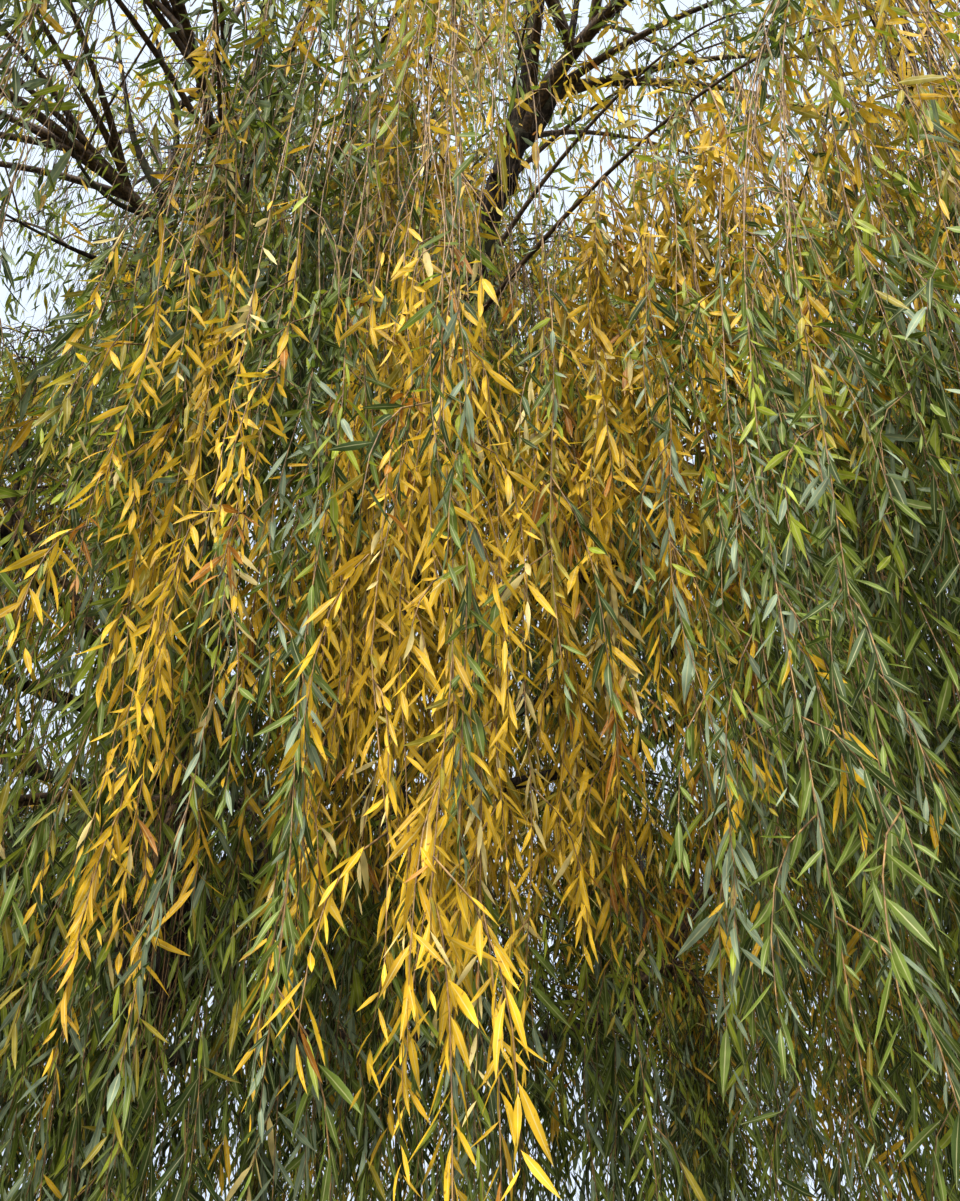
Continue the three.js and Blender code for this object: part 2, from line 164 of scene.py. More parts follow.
def linearColour(hexColour):
    # sRGB hex to linear light: below 0.04045 a straight line, above it a 2.4 power.
    parts = [int(hexColour[i:i + 2], 16) / 255 for i in (1, 3, 5)]
    return [c / 12.92 if c <= 0.04045 else ((c + 0.055) / 1.055) ** 2.4 for c in parts] + [1.0]


def addNode(tree, kind, values):
    # Adds one node. A value goes to the property or the input of its name. Another node, by its first output
    # in use, or an output is linked to that input.
    node = tree.nodes.new("ShaderNode" + kind)
    for name, value in values.items():
        if isinstance(name, str) and hasattr(node, name):
            setattr(node, name, value)
        elif isinstance(value, bpy.types.Node):
            tree.links.new(next(output for output in value.outputs if output.enabled), node.inputs[name])
        elif isinstance(value, bpy.types.NodeSocket):
            tree.links.new(value, node.inputs[name])
        else:
            node.inputs[name].default_value = value
    return node


def newMaterial(name):
    # An empty node material and its tree.
    material = bpy.data.materials.new(name)
    material.use_nodes = True
    material.node_tree.nodes.clear()
    return material, material.node_tree


# What a Mix node needs to mix two colours: its factor is input 0 and its colours are 6 and 7.
mixing = {"data_type": "RGBA"}
multiplying = {"data_type": "RGBA", "blend_type": "MULTIPLY", 0: 1.0}


# Willow bark is rough, deeply furrowed and matt: grey-brown ridges with dark, warm furrows between them.
# The near-black furrow colour is partly the bark's own and partly painted shade in the furrows.
barkLooks = {
    "ridge": "#6b5f52", "body": "#4a3f35", "furrowAndShade": "#221b16", "lichen": "#6f7559", "furrowSpacing": 0.035,
    "furrowStretch": 5.0, "grain": 0.006, "roughness": 0.92, "bump": 0.9, "depth": 0.012,
}


def barkMaterial(name, looks, scale=1.0):
    # Noise drawn out upwards gives the furrows' depth. Colour goes from the furrow colour to body by depth,
    # to ridge by a fine grain, back to the furrow colour by depth, and to lichen in broad patches. The
    # darkening by depth is partly the bark's own colour and partly painted shade, laid twice where the
    # surface sinks. The height is the depth plus a quarter grain.
    material, tree = newMaterial(name)
    furrowAndShade, body, ridge, lichen = (
        linearColour(looks[part]) for part in ("furrowAndShade", "body", "ridge", "lichen"))
    place = addNode(tree, "TexCoord", {}).outputs["Object"]
    drawnOut = addNode(tree, "Mapping", {"Scale": (1, 1, 1 / looks["furrowStretch"]), "Vector": place})
    lines = addNode(tree, "TexNoise", {
        "Scale": 1 / (looks["furrowSpacing"] * scale), "Detail": 4.0, "Roughness": 0.6, "Distortion": 0.6,
        "Vector": drawnOut})
    grain = addNode(tree, "TexNoise", {"Scale": 1 / (looks["grain"] * scale), "Detail": 2.0, "Vector": place})
    patches = addNode(tree, "TexNoise", {"Scale": 2.2, "Detail": 2.0, "Vector": place})
    depth = addNode(tree, "MapRange", {"From Min": 0.36, "From Max": 0.66, "Value": lines})
    lit = addNode(tree, "MapRange", {"From Min": 0.45, "From Max": 0.75, "Value": grain})
    thin = addNode(tree, "MapRange", {"From Min": 0.56, "From Max": 0.7, "To Max": 0.35, "Value": patches})
    # Painted shade, partly the bark's own colour: the furrow colour where the depth says the surface sinks.
    base = addNode(tree, "Mix", {**mixing, 0: depth, 6: furrowAndShade, 7: body})
    ridges = addNode(tree, "Mix", {**mixing, 0: lit, 6: base, 7: ridge})
    # Painted shade laid again: the furrow colour a second time, by the same depth.
    furrowsShadedAgain = addNode(tree, "Mix", {**mixing, 0: depth, 6: furrowAndShade, 7: ridges})
    colour = addNode(tree, "Mix", {**mixing, 0: thin, 6: furrowsShadedAgain, 7: lichen})
    height = addNode(tree, "Math", {"operation": "MULTIPLY_ADD", 0: grain, 1: 0.25, 2: lines})
    bump = addNode(tree, "Bump", {
        "Strength": looks["bump"], "Distance": looks["depth"] * scale, "Height": height})
    shader = addNode(tree, "BsdfPrincipled", {
        "Roughness": looks["roughness"], "IOR": 1.45, "Specular IOR Level": 0.25, "Base Color": colour,
        "Normal": bump})
    addNode(tree, "OutputMaterial", {0: shader})
    return material


# Young willow rods have smooth, thin bark with a slight wax shine: tan on the whips, browner when older.
twigLooks = {
    "whip": {"light": "#9c7a4a", "dark": "#5f4a30", "roughness": 0.55},
    "older": {"light": "#6a5236", "dark": "#3c2e20", "roughness": 0.7},
    "mark": 0.018,
}


def twigMaterial(name, looks):
    # Fine noise goes from the dark to the light colour and raises the bark a little.
    material, tree = newMaterial(name)
    place = addNode(tree, "TexCoord", {}).outputs["Object"]
    dark, light = linearColour(looks["dark"]), linearColour(looks["light"])
    marks = addNode(tree, "TexNoise", {"Scale": 1 / twigLooks["mark"], "Detail": 2.0, "Vector": place})
    share = addNode(tree, "MapRange", {"From Min": 0.38, "From Max": 0.64, "Value": marks})
    colour = addNode(tree, "Mix", {**mixing, 0: share, 6: dark, 7: light})
    bump = addNode(tree, "Bump", {"Strength": 0.3, "Distance": 0.001, "Height": marks})
    shader = addNode(tree, "BsdfPrincipled", {
        "Roughness": looks["roughness"], "IOR": 1.45, "Base Color": colour, "Normal": bump})
    addNode(tree, "OutputMaterial", {0: shader})
    return material


# A willow leaf is thin, a little waxy, and lets light through: it glows against the sky and shines dully from
# above. Each tint: its face, the colour of the light that passes, its brown autumn specks, and how many of
# them it has.
leafTints = {
    "gold": ("#e6b932", "#f7d542", "#8a5a1c", 0.30),
    "amber": ("#d6a82c", "#ecbe36", "#6e4216", 0.36),
    "ochre": ("#a89636", "#c0b03c", "#6a5420", 0.30),
    "straw": ("#e6cd86", "#f2dc7c", "#9a7438", 0.28),
    "rust": ("#bd8034", "#d48c2c", "#5e3414", 0.40),
    "lime": ("#a3ab3c", "#bcc43c", "#6e7a2c", 0.18),
    "fresh": ("#748238", "#94a438", "#4c6030", 0.12),
    "deep": ("#4c5a2c", "#66782a", "#384426", 0.10),
    "sage": ("#919e7e", "#98a65a", "#62745c", 0.10),
}
goldTints = 5  # the first ones in the list
leafLooks = {
    "translucent": 0.34, "roughness": 0.5, "shine": 0.35, "speckSize": 0.0035, "patch": 0.045, "midrib": 0.05,
    "ribColour": "#d8cf98",
}


def leafMaterial(name, face, passing, speck, specked):
    # The face is shaded by soft patches and mixed with specks and with a pale rib along the blade's middle.
    # The light that passes has the same patches. The two are mixed by how translucent a leaf is.
    material, tree = newMaterial(name)
    place = addNode(tree, "TexCoord", {}).outputs["Object"]
    patches = addNode(tree, "TexNoise", {"Scale": 1 / leafLooks["patch"], "Detail": 1.0, "Vector": place})
    specks = addNode(tree, "TexNoise", {
        "Scale": 1 / leafLooks["speckSize"] / 2, "Detail": 1.0, "Vector": place})
    shade = addNode(tree, "MapRange", {
        "From Min": 0.3, "From Max": 0.7, "To Min": 0.62, "To Max": 1.24, "Value": patches})
    speckShare = addNode(tree, "MapRange", {
        "From Min": 0.82 - 0.5 * specked, "From Max": 0.9 - 0.5 * specked, "To Max": 0.75, "Value": specks})
    across = addNode(tree, "SeparateXYZ", {"Vector": addNode(tree, "UVMap", {"uv_map": "leafUv"})})
    offMiddle = addNode(tree, "Math", {"operation": "SUBTRACT", 0: across, 1: 0.5})
    away = addNode(tree, "Math", {"operation": "ABSOLUTE", 0: offMiddle})
    rib = addNode(tree, "MapRange", {
        "From Min": leafLooks["midrib"] * 0.6, "From Max": leafLooks["midrib"] * 1.6, "To Min": 0.55,
        "To Max": 0.0,
        "Value": away})
    shaded = addNode(tree, "Mix", {**multiplying, 6: linearColour(face), 7: shade})
    spotted = addNode(tree, "Mix", {**mixing, 0: speckShare, 6: shaded, 7: linearColour(speck)})
    colour = addNode(tree, "Mix", {**mixing, 0: rib, 6: spotted, 7: linearColour(leafLooks["ribColour"])})
    shader = addNode(tree, "BsdfPrincipled", {
        "Roughness": leafLooks["roughness"], "IOR": 1.45, "Specular IOR Level": leafLooks["shine"],
        "Base Color": colour})
    through = addNode(tree, "Mix", {**multiplying, 6: linearColour(passing), 7: shade})
    glow = addNode(tree, "BsdfTranslucent", {"Color": through})
    both = addNode(tree, "MixShader", {0: leafLooks["translucent"], 1: shader, 2: glow})
    addNode(tree, "OutputMaterial", {0: both})
    return material


barkSkin = barkMaterial("willow_bark_furrowed", barkLooks)
boughSkin = barkMaterial("willow_bark_young", {**barkLooks, "ridge": "#5e5040", "furrowStretch": 3.0}, 0.6)
whipSkin = twigMaterial("willow_rod_tan", twigLooks["whip"])
stemSkin = twigMaterial("willow_twig_brown", twigLooks["older"])
leafSkins = [leafMaterial("willow_leaf_" + tint, *looks) for tint, looks in leafTints.items()]
print("materials made:", 4 + len(leafSkins))


# Making pieces

def newPiece(name, vertices, faces, material, slotName, uv=None):
    # A mesh of triangles, given as whole arrays, in the object's own frame.
    mesh = bpy.data.meshes.new(name)
    mesh.vertices.add(len(vertices))
    mesh.vertices.foreach_set("co", np.ascontiguousarray(vertices, np.float32).ravel())
    mesh.loops.add(faces.size)
    mesh.loops.foreach_set("vertex_index", np.ascontiguousarray(faces, np.int32).ravel())
    mesh.polygons.add(len(faces))
    mesh.polygons.foreach_set("loop_start", np.arange(0, faces.size, 3, dtype=np.int32))
    mesh.polygons.foreach_set("use_smooth", np.ones(len(faces), bool))
    if uv is not None:
        layer = mesh.uv_layers.new(name="leafUv")
        layer.data.foreach_set("uv", np.ascontiguousarray(uv[faces.ravel()], np.float32).ravel())
    mesh.update(calc_edges=True)
    piece = bpy.data.objects.new(name, mesh)
    bpy.context.scene.collection.objects.link(piece)
    mesh.materials.append(material)
    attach(piece, "root")
    return piece


def anglesOf(count):
    # Even angles of a full turn.
    return np.arange(count) * 2 * np.pi / count


def squareTo(points):
    # Two directions square to paths at each of their points: the level one across the path's whole run, less
    # its part along the path, and the cross product of the path's direction with that.
    along = unit(np.gradient(points, axis=1))
    run = points[:, -1] - points[:, 0]
    level = np.stack([-run[:, 1], run[:, 0], 0 * run[:, 0]], -1)
    level = unit(np.where(lengthOf(level)[:, None] > 1e-3, level, (1.0, 0.0, 0.0)))[:, None]
    across = unit(level - along * (level * along).sum(-1, keepdims=True))
    return across, np.cross(along, across)


def hoopsAt(centres, across, up, radii, sides):
    # Rings of points: a centre plus the radius times across and up by the cosine and the sine of even angles.
    angle = anglesOf(sides)[:, None]
    spokes = across[..., None, :] * np.cos(angle) + up[..., None, :] * np.sin(angle)
    return centres[..., None, :] + radii[..., None] * spokes


def tubes(points, radii, sides):
    # Tubes that end in a point: at each path point but the last a ring of the radius, square to the path.
    count, rings = points.shape[:2]
    across, up = squareTo(points)
    hoops = hoopsAt(points[:, :-1], across[:, :-1], up[:, :-1], radii[:, :-1, None], sides)
    vertices = np.concatenate([hoops.reshape(count, -1, 3), points[:, -1:]], 1)
    side, after = np.arange(sides), (np.arange(sides) + 1) % sides
    template = []
    for ring in range(rings - 2):
        a, b = ring * sides + side, ring * sides + after
        template += [np.stack([a, b, b + sides], -1), np.stack([a, b + sides, a + sides], -1)]
    last = (rings - 2) * sides
    template.append(np.stack([last + side, last + after, np.full(sides, (rings - 1) * sides)], -1))
    fan = np.arange(1, sides - 1)
    template.append(np.stack([0 * fan, fan + 1, fan], -1))
    template = np.concatenate(template)
    faces = template[None] + (np.arange(count) * vertices.shape[1])[:, None, None]
    return vertices.reshape(-1, 3), faces.reshape(-1, 3)


def joined(parts):
    # Several lists of vertices and faces as one, with each list's faces moved on past the vertices before it.
    start, vertices, faces = 0, [], []
    for some, theirs in parts:
        vertices.append(some)
        faces.append(theirs + start)
        start += len(some)
    return np.concatenate(vertices), np.concatenate(faces)


# The trunk and limbs, with the bark's relief. A mesh is the columns round a limb and the rows along it.

trunk = {
    "footRadius": 0.215, "breastRadius": 0.168, "forkRadius": 0.145, "forkHeight": 3.35, "taperHeight": 2.4,
    "lean": 0.2, "leanPower": 2.4, "kink": -0.045, "flareHeight": 0.33, "flare": 1.6, "buttresses": 5,
    "buttressDepth": 0.2, "headShare": 0.07, "headNarrows": 0.4, "ringPower": 1.5, "columns": 132,
    "rows": 210, "ridges": 26, "relief": 0.011,
}
leaders = {
    "front_right": {"azimuth": 300, "radius": 2.95, "height": 7.95, "root": 0.112, "tip": 0.082,
                    "out": 0.8, "lift": 0.3, "bow": 0.75},
    "front_left": {"azimuth": 242, "radius": 2.05, "height": 7.5, "root": 0.092, "tip": 0.066,
                   "out": 0.5, "lift": 0.28, "bow": 0.3},
    "left": {"azimuth": 161, "radius": 2.3, "height": 7.6, "root": 0.08, "tip": 0.05,
             "out": 0.6, "lift": 0.26, "bow": 0.15},
    "back": {"azimuth": 89, "radius": 2.4, "height": 7.7, "root": 0.086, "tip": 0.054,
             "out": 0.62, "lift": 0.24, "bow": -0.2},
    "right": {"azimuth": 17, "radius": 2.5, "height": 7.6, "root": 0.08, "tip": 0.05,
              "out": 0.6, "lift": 0.3, "bow": 0.2},
}
limbs = {
    "firstRoot": 0.94, "rootStep": 0.018, "out": 0.35, "lift": 0.35, "turnIn": 0.3, "taper": 1.15,
    "collar": 0.25, "collarEnds": 14, "leaderMesh": (44, 110), "boughMesh": (22, 56), "forkMesh": (14, 48),
    "relief": 0.07, "level": 0.65, "furrowWidth": 0.034, "fewestFurrows": 5, "springsFrom": 0.35,
    "springsEach": 3, "nearest": 0.94, "radiusRange": 0.12, "heightRange": 0.3,
}


def trunkPath(share):
    # A kink low down and a lean that grows with height, at a height of the fork's times share to the 1.5.
    height = trunk["forkHeight"] * np.asarray(share, float) ** trunk["ringPower"]
    up = height / trunk["forkHeight"]
    x = trunk["kink"] * np.sin(np.pi * np.minimum(1, up * 1.5)) + trunk["lean"] * up ** trunk["leanPower"]
    return np.stack([x, 0 * x, height], -1)


def furrows(angle, along, count):
    # Willow bark: two sets of wavy lines that lean opposite ways. Where a line runs the bark sinks, so the
    # value is the lower of two rectified sines, from 0 in a furrow to 1 on a ridge.
    wander = 1.4 * np.sin(along * 27 + 2 * angle) + 0.8 * np.sin(along * 61 - 3 * angle + 1.3)
    left = np.abs(np.sin(0.5 * (count * angle + wander + along * 9)))
    right = np.abs(np.sin(0.5 * (count * angle - 0.8 * wander - along * 7 + 1.9)))
    return np.minimum(left, right) ** 0.6


def barkSurface(name, centres, directions, radii, along, count, relief, material, nodes):
    # A closed skin: at each row a ring with the limb's radius plus the bark's relief, and a cap at each end.
    rows, columns = radii.shape
    ridge = furrows(anglesOf(columns)[None], along[:, None], count)
    hoops = hoopsAt(centres, *directions, radii + relief * (ridge - limbs["level"]), columns)
    vertices = np.concatenate([hoops.reshape(-1, 3), centres[:1], centres[-1:]])
    row, column = np.meshgrid(np.arange(rows - 1), np.arange(columns), indexing="ij")
    a, b = row * columns + column, row * columns + (column + 1) % columns
    side, after = np.arange(columns), (np.arange(columns) + 1) % columns
    first, last = rows * columns, (rows - 1) * columns
    faces = np.concatenate([
        np.stack([a, b, b + columns], -1).reshape(-1, 3),
        np.stack([a, b + columns, a + columns], -1).reshape(-1, 3),
        np.stack([after, side, np.full(columns, first)], -1),
        np.stack([last + side, last + after, np.full(columns, first + 1)], -1),
    ])
    piece = newPiece(name, vertices, faces, material, "bark")
    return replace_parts(piece, *nodes) if nodes else piece


def makeTrunk():
    # The trunk's radius: its taper, plus a flare that dies out with height, lobed into buttresses low down.
    share = np.linspace(0, 1, trunk["rows"])
    angle = anglesOf(trunk["columns"])
    centres = trunkPath(share)
    height = centres[:, 2:]
    body = mix(trunk["breastRadius"], trunk["forkRadius"], np.minimum(1, height / trunk["taperHeight"]))
    flare = np.exp(-height / trunk["flareHeight"])
    lobes = 1 + trunk["buttressDepth"] * flare * np.cos(trunk["buttresses"] * angle)[None]
    up = height / trunk["forkHeight"]
    head = 1 - trunk["headNarrows"] * np.maximum(0, (up - 1 + trunk["headShare"]) / trunk["headShare"])
    radii = (body + trunk["flare"] * (trunk["footRadius"] - trunk["breastRadius"]) * flare) * lobes * head
    level = np.tile([[1.0, 0, 0]], (len(share), 1)), np.tile([[0, 1.0, 0]], (len(share), 1))
    barkSurface("trunk_bark", centres, level, radii, height[:, 0], trunk["ridges"], trunk["relief"], barkSkin,
                ["trunk"])


def bezierPoint(corners, share):
    # A cubic curve: the four corners weighted by (1-s)^3, 3(1-s)^2 s, 3(1-s)s^2 and s^3.
    share = np.asarray(share, float)[..., None]
    back = 1 - share
    weights = (back ** 3, 3 * back ** 2 * share, 3 * back * share ** 2, share ** 3)
    return sum(weight * corner for weight, corner in zip(weights, corners))


def limbCorners(root, end, onward, out, lift, bow=0.0):
    # The limb bows out level from its root, rises, and comes to its end in the direction its stem goes on in.
    run = end - root
    sideways = unit(np.array([-run[1], run[0], 0.0]))
    first = root + out * run * (1, 1, 0) + bow * sideways + lift * run * (0, 0, 1)
    return root, first, end - limbs["turnIn"] * np.linalg.norm(run) * onward, end


def makeLimb(name, corners, root, tip, mesh, material):
    # Radius: from root to tip by a power, plus a collar that dies out along the limb. A fork has no solid.
    columns, rows = mesh
    share = np.linspace(0, 1, rows)
    centres = bezierPoint(corners, share)
    across, up = squareTo(centres[None])
    radii = tip + (root - tip) * (1 - share) ** limbs["taper"]
    radii = radii + limbs["collar"] * root * np.exp(-share * limbs["collarEnds"])
    along = np.concatenate([[0], np.cumsum(lengthOf(np.diff(centres, axis=0)))])
    count = max(limbs["fewestFurrows"], round(2 * np.pi * root / limbs["furrowWidth"]))
    radii = np.repeat(radii[:, None], columns, 1)
    barkSurface(name + "_bark", centres, (across[0], up[0]), radii, along, count,
                limbs["relief"] * root, material, [] if name in forks else [name])
    upper = share > limbs["springsFrom"]
    carriers.append(np.column_stack([centres[upper], radii[upper, 0]])[::limbs["springsEach"]])


# Forks: finer limbs that the foliage lets show. They grow on from the leaders' and boughs' ends and stay
# inside the masses that the solids give there. Each fork: its radius at the root and the tip, and four points
# that it passes.
forks = {
    "fork_up": (0.050, 0.010, [
        (0.24, -2.21, 7.49), (0.10, -2.51, 7.95), (0.15, -2.72, 8.41), (-0.29, -3.40, 9.66)]),
    "fork_left": (0.036, 0.008, [
        (0.12, -2.46, 7.86), (-0.09, -2.75, 8.16), (-0.20, -2.94, 8.59), (-0.43, -3.40, 9.51)]),
    "fork_right": (0.024, 0.007, [
        (0.12, -2.78, 8.56), (0.34, -2.81, 8.82), (0.46, -2.91, 9.14), (0.51, -3.22, 9.95)]),
    "fork_brown": (0.024, 0.006, [
        (0.11, -2.43, 7.80), (-0.16, -2.62, 7.66), (-0.34, -2.88, 7.70), (-0.39, -3.15, 7.91)]),
    "fork_low": (0.026, 0.007, [
        (0.16, -2.17, 7.33), (-0.18, -2.42, 7.25), (-0.44, -2.66, 7.17), (-0.75, -2.99, 7.10)]),
    "centre_up": (0.088, 0.012, [
        (2.55, -2.80, 7.60), (2.70, -3.09, 8.16), (2.77, -3.44, 8.74), (2.66, -3.72, 9.50)]),
    "centre_right": (0.056, 0.010, [
        (2.68, -2.92, 7.93), (2.90, -3.10, 8.13), (3.05, -3.40, 8.60), (3.12, -3.66, 9.35)]),
    "edge_up": (0.050, 0.010, [
        (4.81, -3.53, 5.74), (4.87, -3.72, 6.12), (4.95, -3.86, 6.84), (4.86, -4.05, 8.10)]),
}


def throughPoints(points):
    # The corners of the cubic curve that is at the four points at shares 0, 1/3, 2/3 and 1.
    a, b, c, d = np.array(points)
    return a, (-5 * a + 18 * b - 9 * c + 2 * d) / 6, (2 * a - 9 * b + 18 * c - 5 * d) / 6, d


# The masses: one for each limb's end. The stems arch out from it, and whips hang from the stems.
# stems and whips are how many the rule is carried to here. The other numbers are the solids' own.

rings = {
    "skirt": {
        "azimuths": [18 + 36 * place for place in range(10)], "wedge": 36, "outer": math.inf, "seed": 10,
        "radius": 3.25, "height": 5.25, "from": (0.3, 0.42), "root": 0.056, "tip": 0.036,
        "lead": 0.36, "rise": 0.88, "drop": 1.0, "throw": 0.26, "longest": 3.9, "stems": 8, "whips": 18,
    },
    "shoulder": {
        "azimuths": [305 - 72 * place for place in range(5)], "wedge": 72, "outer": math.inf, "seed": 30,
        "lead": 0.22, "rise": 0.7, "drop": 0.65, "throw": 0.3, "longest": 3.0, "stems": 9, "whips": 15,
    },
    "crest": {
        "azimuths": [60, 180, 300], "wedge": 120, "outer": math.inf, "seed": 40,
        "radius": 0.65, "height": 10.18, "from": (0.7, 0.74), "root": 0.046, "tip": 0.028,
        "lead": 0.32, "rise": 1.2, "drop": 0.5, "throw": 0.2, "longest": 1.9, "stems": 9, "whips": 12,
    },
    "inner": {
        "azimuths": [53, 125, 201, 338], "wedge": 60, "outer": 2.88, "seed": 50,
        "radius": 1.3, "height": 6.05, "from": (0.52, 0.56), "root": 0.04, "tip": 0.024,
        "lead": 0.4, "rise": 0.45, "drop": 0.6, "throw": 0.2, "longest": 2.6, "stems": 6, "whips": 12,
    },
}
lowMass = {
    "outer": 2.88, "lead": 0.5, "rise": 0.2, "drop": 0.8, "throw": 0.18, "longest": 1.7, "out": 0.3,
    "lift": 1.1,
}
lowBoughs = {
    "low": {
        "azimuth": 8, "wedge": 30, "seed": 60, "radius": 2.3, "height": 2.95, "springs": 2.35,
        "root": 0.058, "tip": 0.03, "stems": 5, "whips": 12,
    },
    "low_front": {
        "azimuth": 268, "wedge": 100, "seed": 61, "radius": 2.35, "height": 3.04, "springs": 2.55,
        "root": 0.084, "tip": 0.046, "stems": 8, "whips": 14,
    },
}
uprightBough = {
    "place": 8, "azimuth": 318, "radius": 4.85, "height": 5.85, "root": 0.066, "tip": 0.042, "rise": 0.45,
}
stemRule = {
    "springs": 0.04, "springsOver": 0.3, "fan": 0.84, "innerEdge": 0.15, "reach": 0.97, "fall": 0.75,
    "fallOver": 0.5, "rise": 0.4, "riseOver": 0.3, "lateRise": 0.5, "clearance": 0.0003, "thins": 1.5,
    "mainShare": 0.94, "sideShare": 0.5, "end": 0.005, "sunk": 0.03, "rings": 20, "sides": 6,
}


def stemCurve(mass, number, start):
    # A stem's named values: where it starts and ends, how far it rises, and how far it turns round the crown.
    random = partial(chance, mass["seed"], number, 0)
    azimuth, radius, height = start
    endHeight = height - mass["drop"] * (stemRule["fall"] + stemRule["fallOver"] * random(3))
    endAzimuth = np.radians(mass["azimuth"] + mass["wedge"] * stemRule["fan"] * (between(number) - 0.5))
    outermost = np.minimum(mass["outer"] - stemRule["innerEdge"], outline(endHeight, endAzimuth))
    endRadius = stemRule["reach"] * outermost
    lower = stemRule["rise"] + stemRule["riseOver"] * random(4)
    rise = mass["rise"] * np.where(np.equal(number, 1), 1, lower)
    values = azimuth, radius, height, endHeight, endRadius, mix(radius, endRadius, mass["lead"]), rise
    return np.stack(np.broadcast_arrays(*values, turnTo(endAzimuth, azimuth)), -1)


def stemPoint(curve, share):
    # Radius and height follow cubic curves of share, and the azimuth turns by the sine of a quarter round.
    azimuth, radius, height, endHeight, endRadius, nextRadius, rise, turn = np.moveaxis(curve, -1, 0)
    back = 1 - share
    begin, early, late, end = back ** 3, 3 * back ** 2 * share, 3 * back * share ** 2, share ** 3
    out = radius * begin + nextRadius * early + endRadius * (late + end)
    lifted = rise * (early + stemRule["lateRise"] * late)
    up = height * (begin + early + late) + lifted + endHeight * end
    return crownPoint(azimuth + turn * np.sin(share * np.pi / 2), out, up)


def newMass(kind, sizes, end):
    # The mass's main stem starts just clear of the limb's end, and the others spring along it.
    mass = {**sizes, "kind": kind}
    curve = stemCurve(mass, 1, crownPlace(end))
    onward = unit(stemPoint(curve, 1e-4) - stemPoint(curve, 0.0))
    main = stemCurve(mass, 1, crownPlace(end + onward * stemRule["clearance"]))
    number = np.arange(2, mass["stems"] + 1)
    springs = stemRule["springs"] + stemRule["springsOver"] * chance(mass["seed"], number, 0, 1)
    others = stemCurve(mass, number, crownPlace(stemPoint(main[None], springs)))
    curves = np.concatenate([main[None], others])
    mass["paths"] = stemPoint(curves[:, None], np.linspace(0, 1, stemRule["rings"])[None])
    mass["onward"] = onward
    return mass


masses = []
leaderCorners = {}
carriers = []  # places along the limbs that arches may spring from, each with the limb's radius there


def growLimb(name, at, springs, mesh, material, kind, sizes):
    # A limb from where it springs to its place in the crown, and the mass that goes on from its end.
    end = crownPoint(math.radians(at["azimuth"]), at["radius"], at["height"])
    mass = newMass(kind, sizes, end)
    corners = limbCorners(springs, end, mass["onward"], at["out"], at["lift"], at.get("bow", 0.0))
    makeLimb(name, corners, at["root"], at["tip"], mesh, material)
    masses.append(mass)
    return corners


makeTrunk()
for place, (name, leader) in enumerate(leaders.items()):
    ring = rings["shoulder"]
    sizes = {**ring, "name": name, "azimuth": ring["azimuths"][place], "seed": ring["seed"] + place,
             "tip": leader["tip"]}
    springs = trunkPath(limbs["firstRoot"] - limbs["rootStep"] * place)
    leaderCorners[name] = growLimb(
        "leader_" + name, leader, springs, limbs["leaderMesh"], barkSkin, "shoulder", sizes)

for kind in ("skirt", "inner", "crest"):
    ring = rings[kind]
    for place, azimuth in enumerate(ring["azimuths"]):
        seed = ring["seed"] + place
        at = {
            **ring, "azimuth": azimuth, "out": limbs["out"], "lift": limbs["lift"],
            "radius": ring["radius"] * (limbs["nearest"] + limbs["radiusRange"] * chance(seed, 0, 0, 1)),
            "height": ring["height"] + limbs["heightRange"] * (chance(seed, 0, 0, 2) - 0.5),
        }
        if kind == "skirt" and place == uprightBough["place"]:
            at.update(uprightBough)
        sizes = {**at, "name": f"{kind}_{place + 1}", "seed": seed, "azimuth": azimuth}
        # Rounded, so that a bough midway between two leaders goes to the first of them each time.
        turns = {n: round(abs(turnTo(*np.radians([leaders[n]["azimuth"], azimuth]))), 6) for n in leaders}
        nearest = min(turns, key=turns.get)
        springs = bezierPoint(leaderCorners[nearest], ring["from"][place % 2])
        growLimb("bough_" + sizes["name"], at, springs, limbs["boughMesh"], boughSkin, kind, sizes)

for name, low in lowBoughs.items():
    low = {**lowMass, **low, "name": name}
    springs = trunkPath((low["springs"] / trunk["forkHeight"]) ** (1 / trunk["ringPower"]))
    growLimb("bough_" + name, low, springs, limbs["boughMesh"], boughSkin, "low", low)
for name, (root, tip, points) in forks.items():
    makeLimb(name, throughPoints(points), root, tip, limbs["forkMesh"], boughSkin)
print("trunk, limbs and forks made:", 1 + len(masses), len(forks))


# Arches: more stems, which spring from the limbs between the masses and end all over the crown's outline.
# Each ends at a place of its own, spread evenly by the golden angle, and springs from the limb nearest below
# it. The first set ends at the outline, the second fills the roof within it, and the third its front.
allRound = {"start": 0, "sweep": 2 * np.pi}
archSets = [
    {"count": 190, "lowest": 4.2, "highest": 10.75, "reach": 0.96, "inner": 0.25, **allRound},
    {"count": 64, "lowest": 6.6, "highest": 9.7, "reach": 0.62, "inner": 0.45, **allRound},
    {"count": 20, "lowest": 5.6, "highest": 8.4, "reach": 0.55, "inner": 0.6, "start": -2.5, "sweep": 1.9},
]
archRule = {
    "seed": 90, "turn": 0.381966, "shortest": 0.9, "above": 2.5, "outside": 1.5, "scatter": 0.6,
    "refused": 20, "mustRise": 0.15, "mustReach": 0.3, "mainRings": 9, "root": 0.011, "rootPerMetre": 0.0055,
    "rootShare": 0.8, "out": 0.3, "rise": 0.28, "riseMore": 0.35, "turnIn": 0.34, "comesIn": (0.5, 0.87),
    "whips": 13, "throw": 0.32, "longest": (1.3, 3.3), "rings": 18,
}


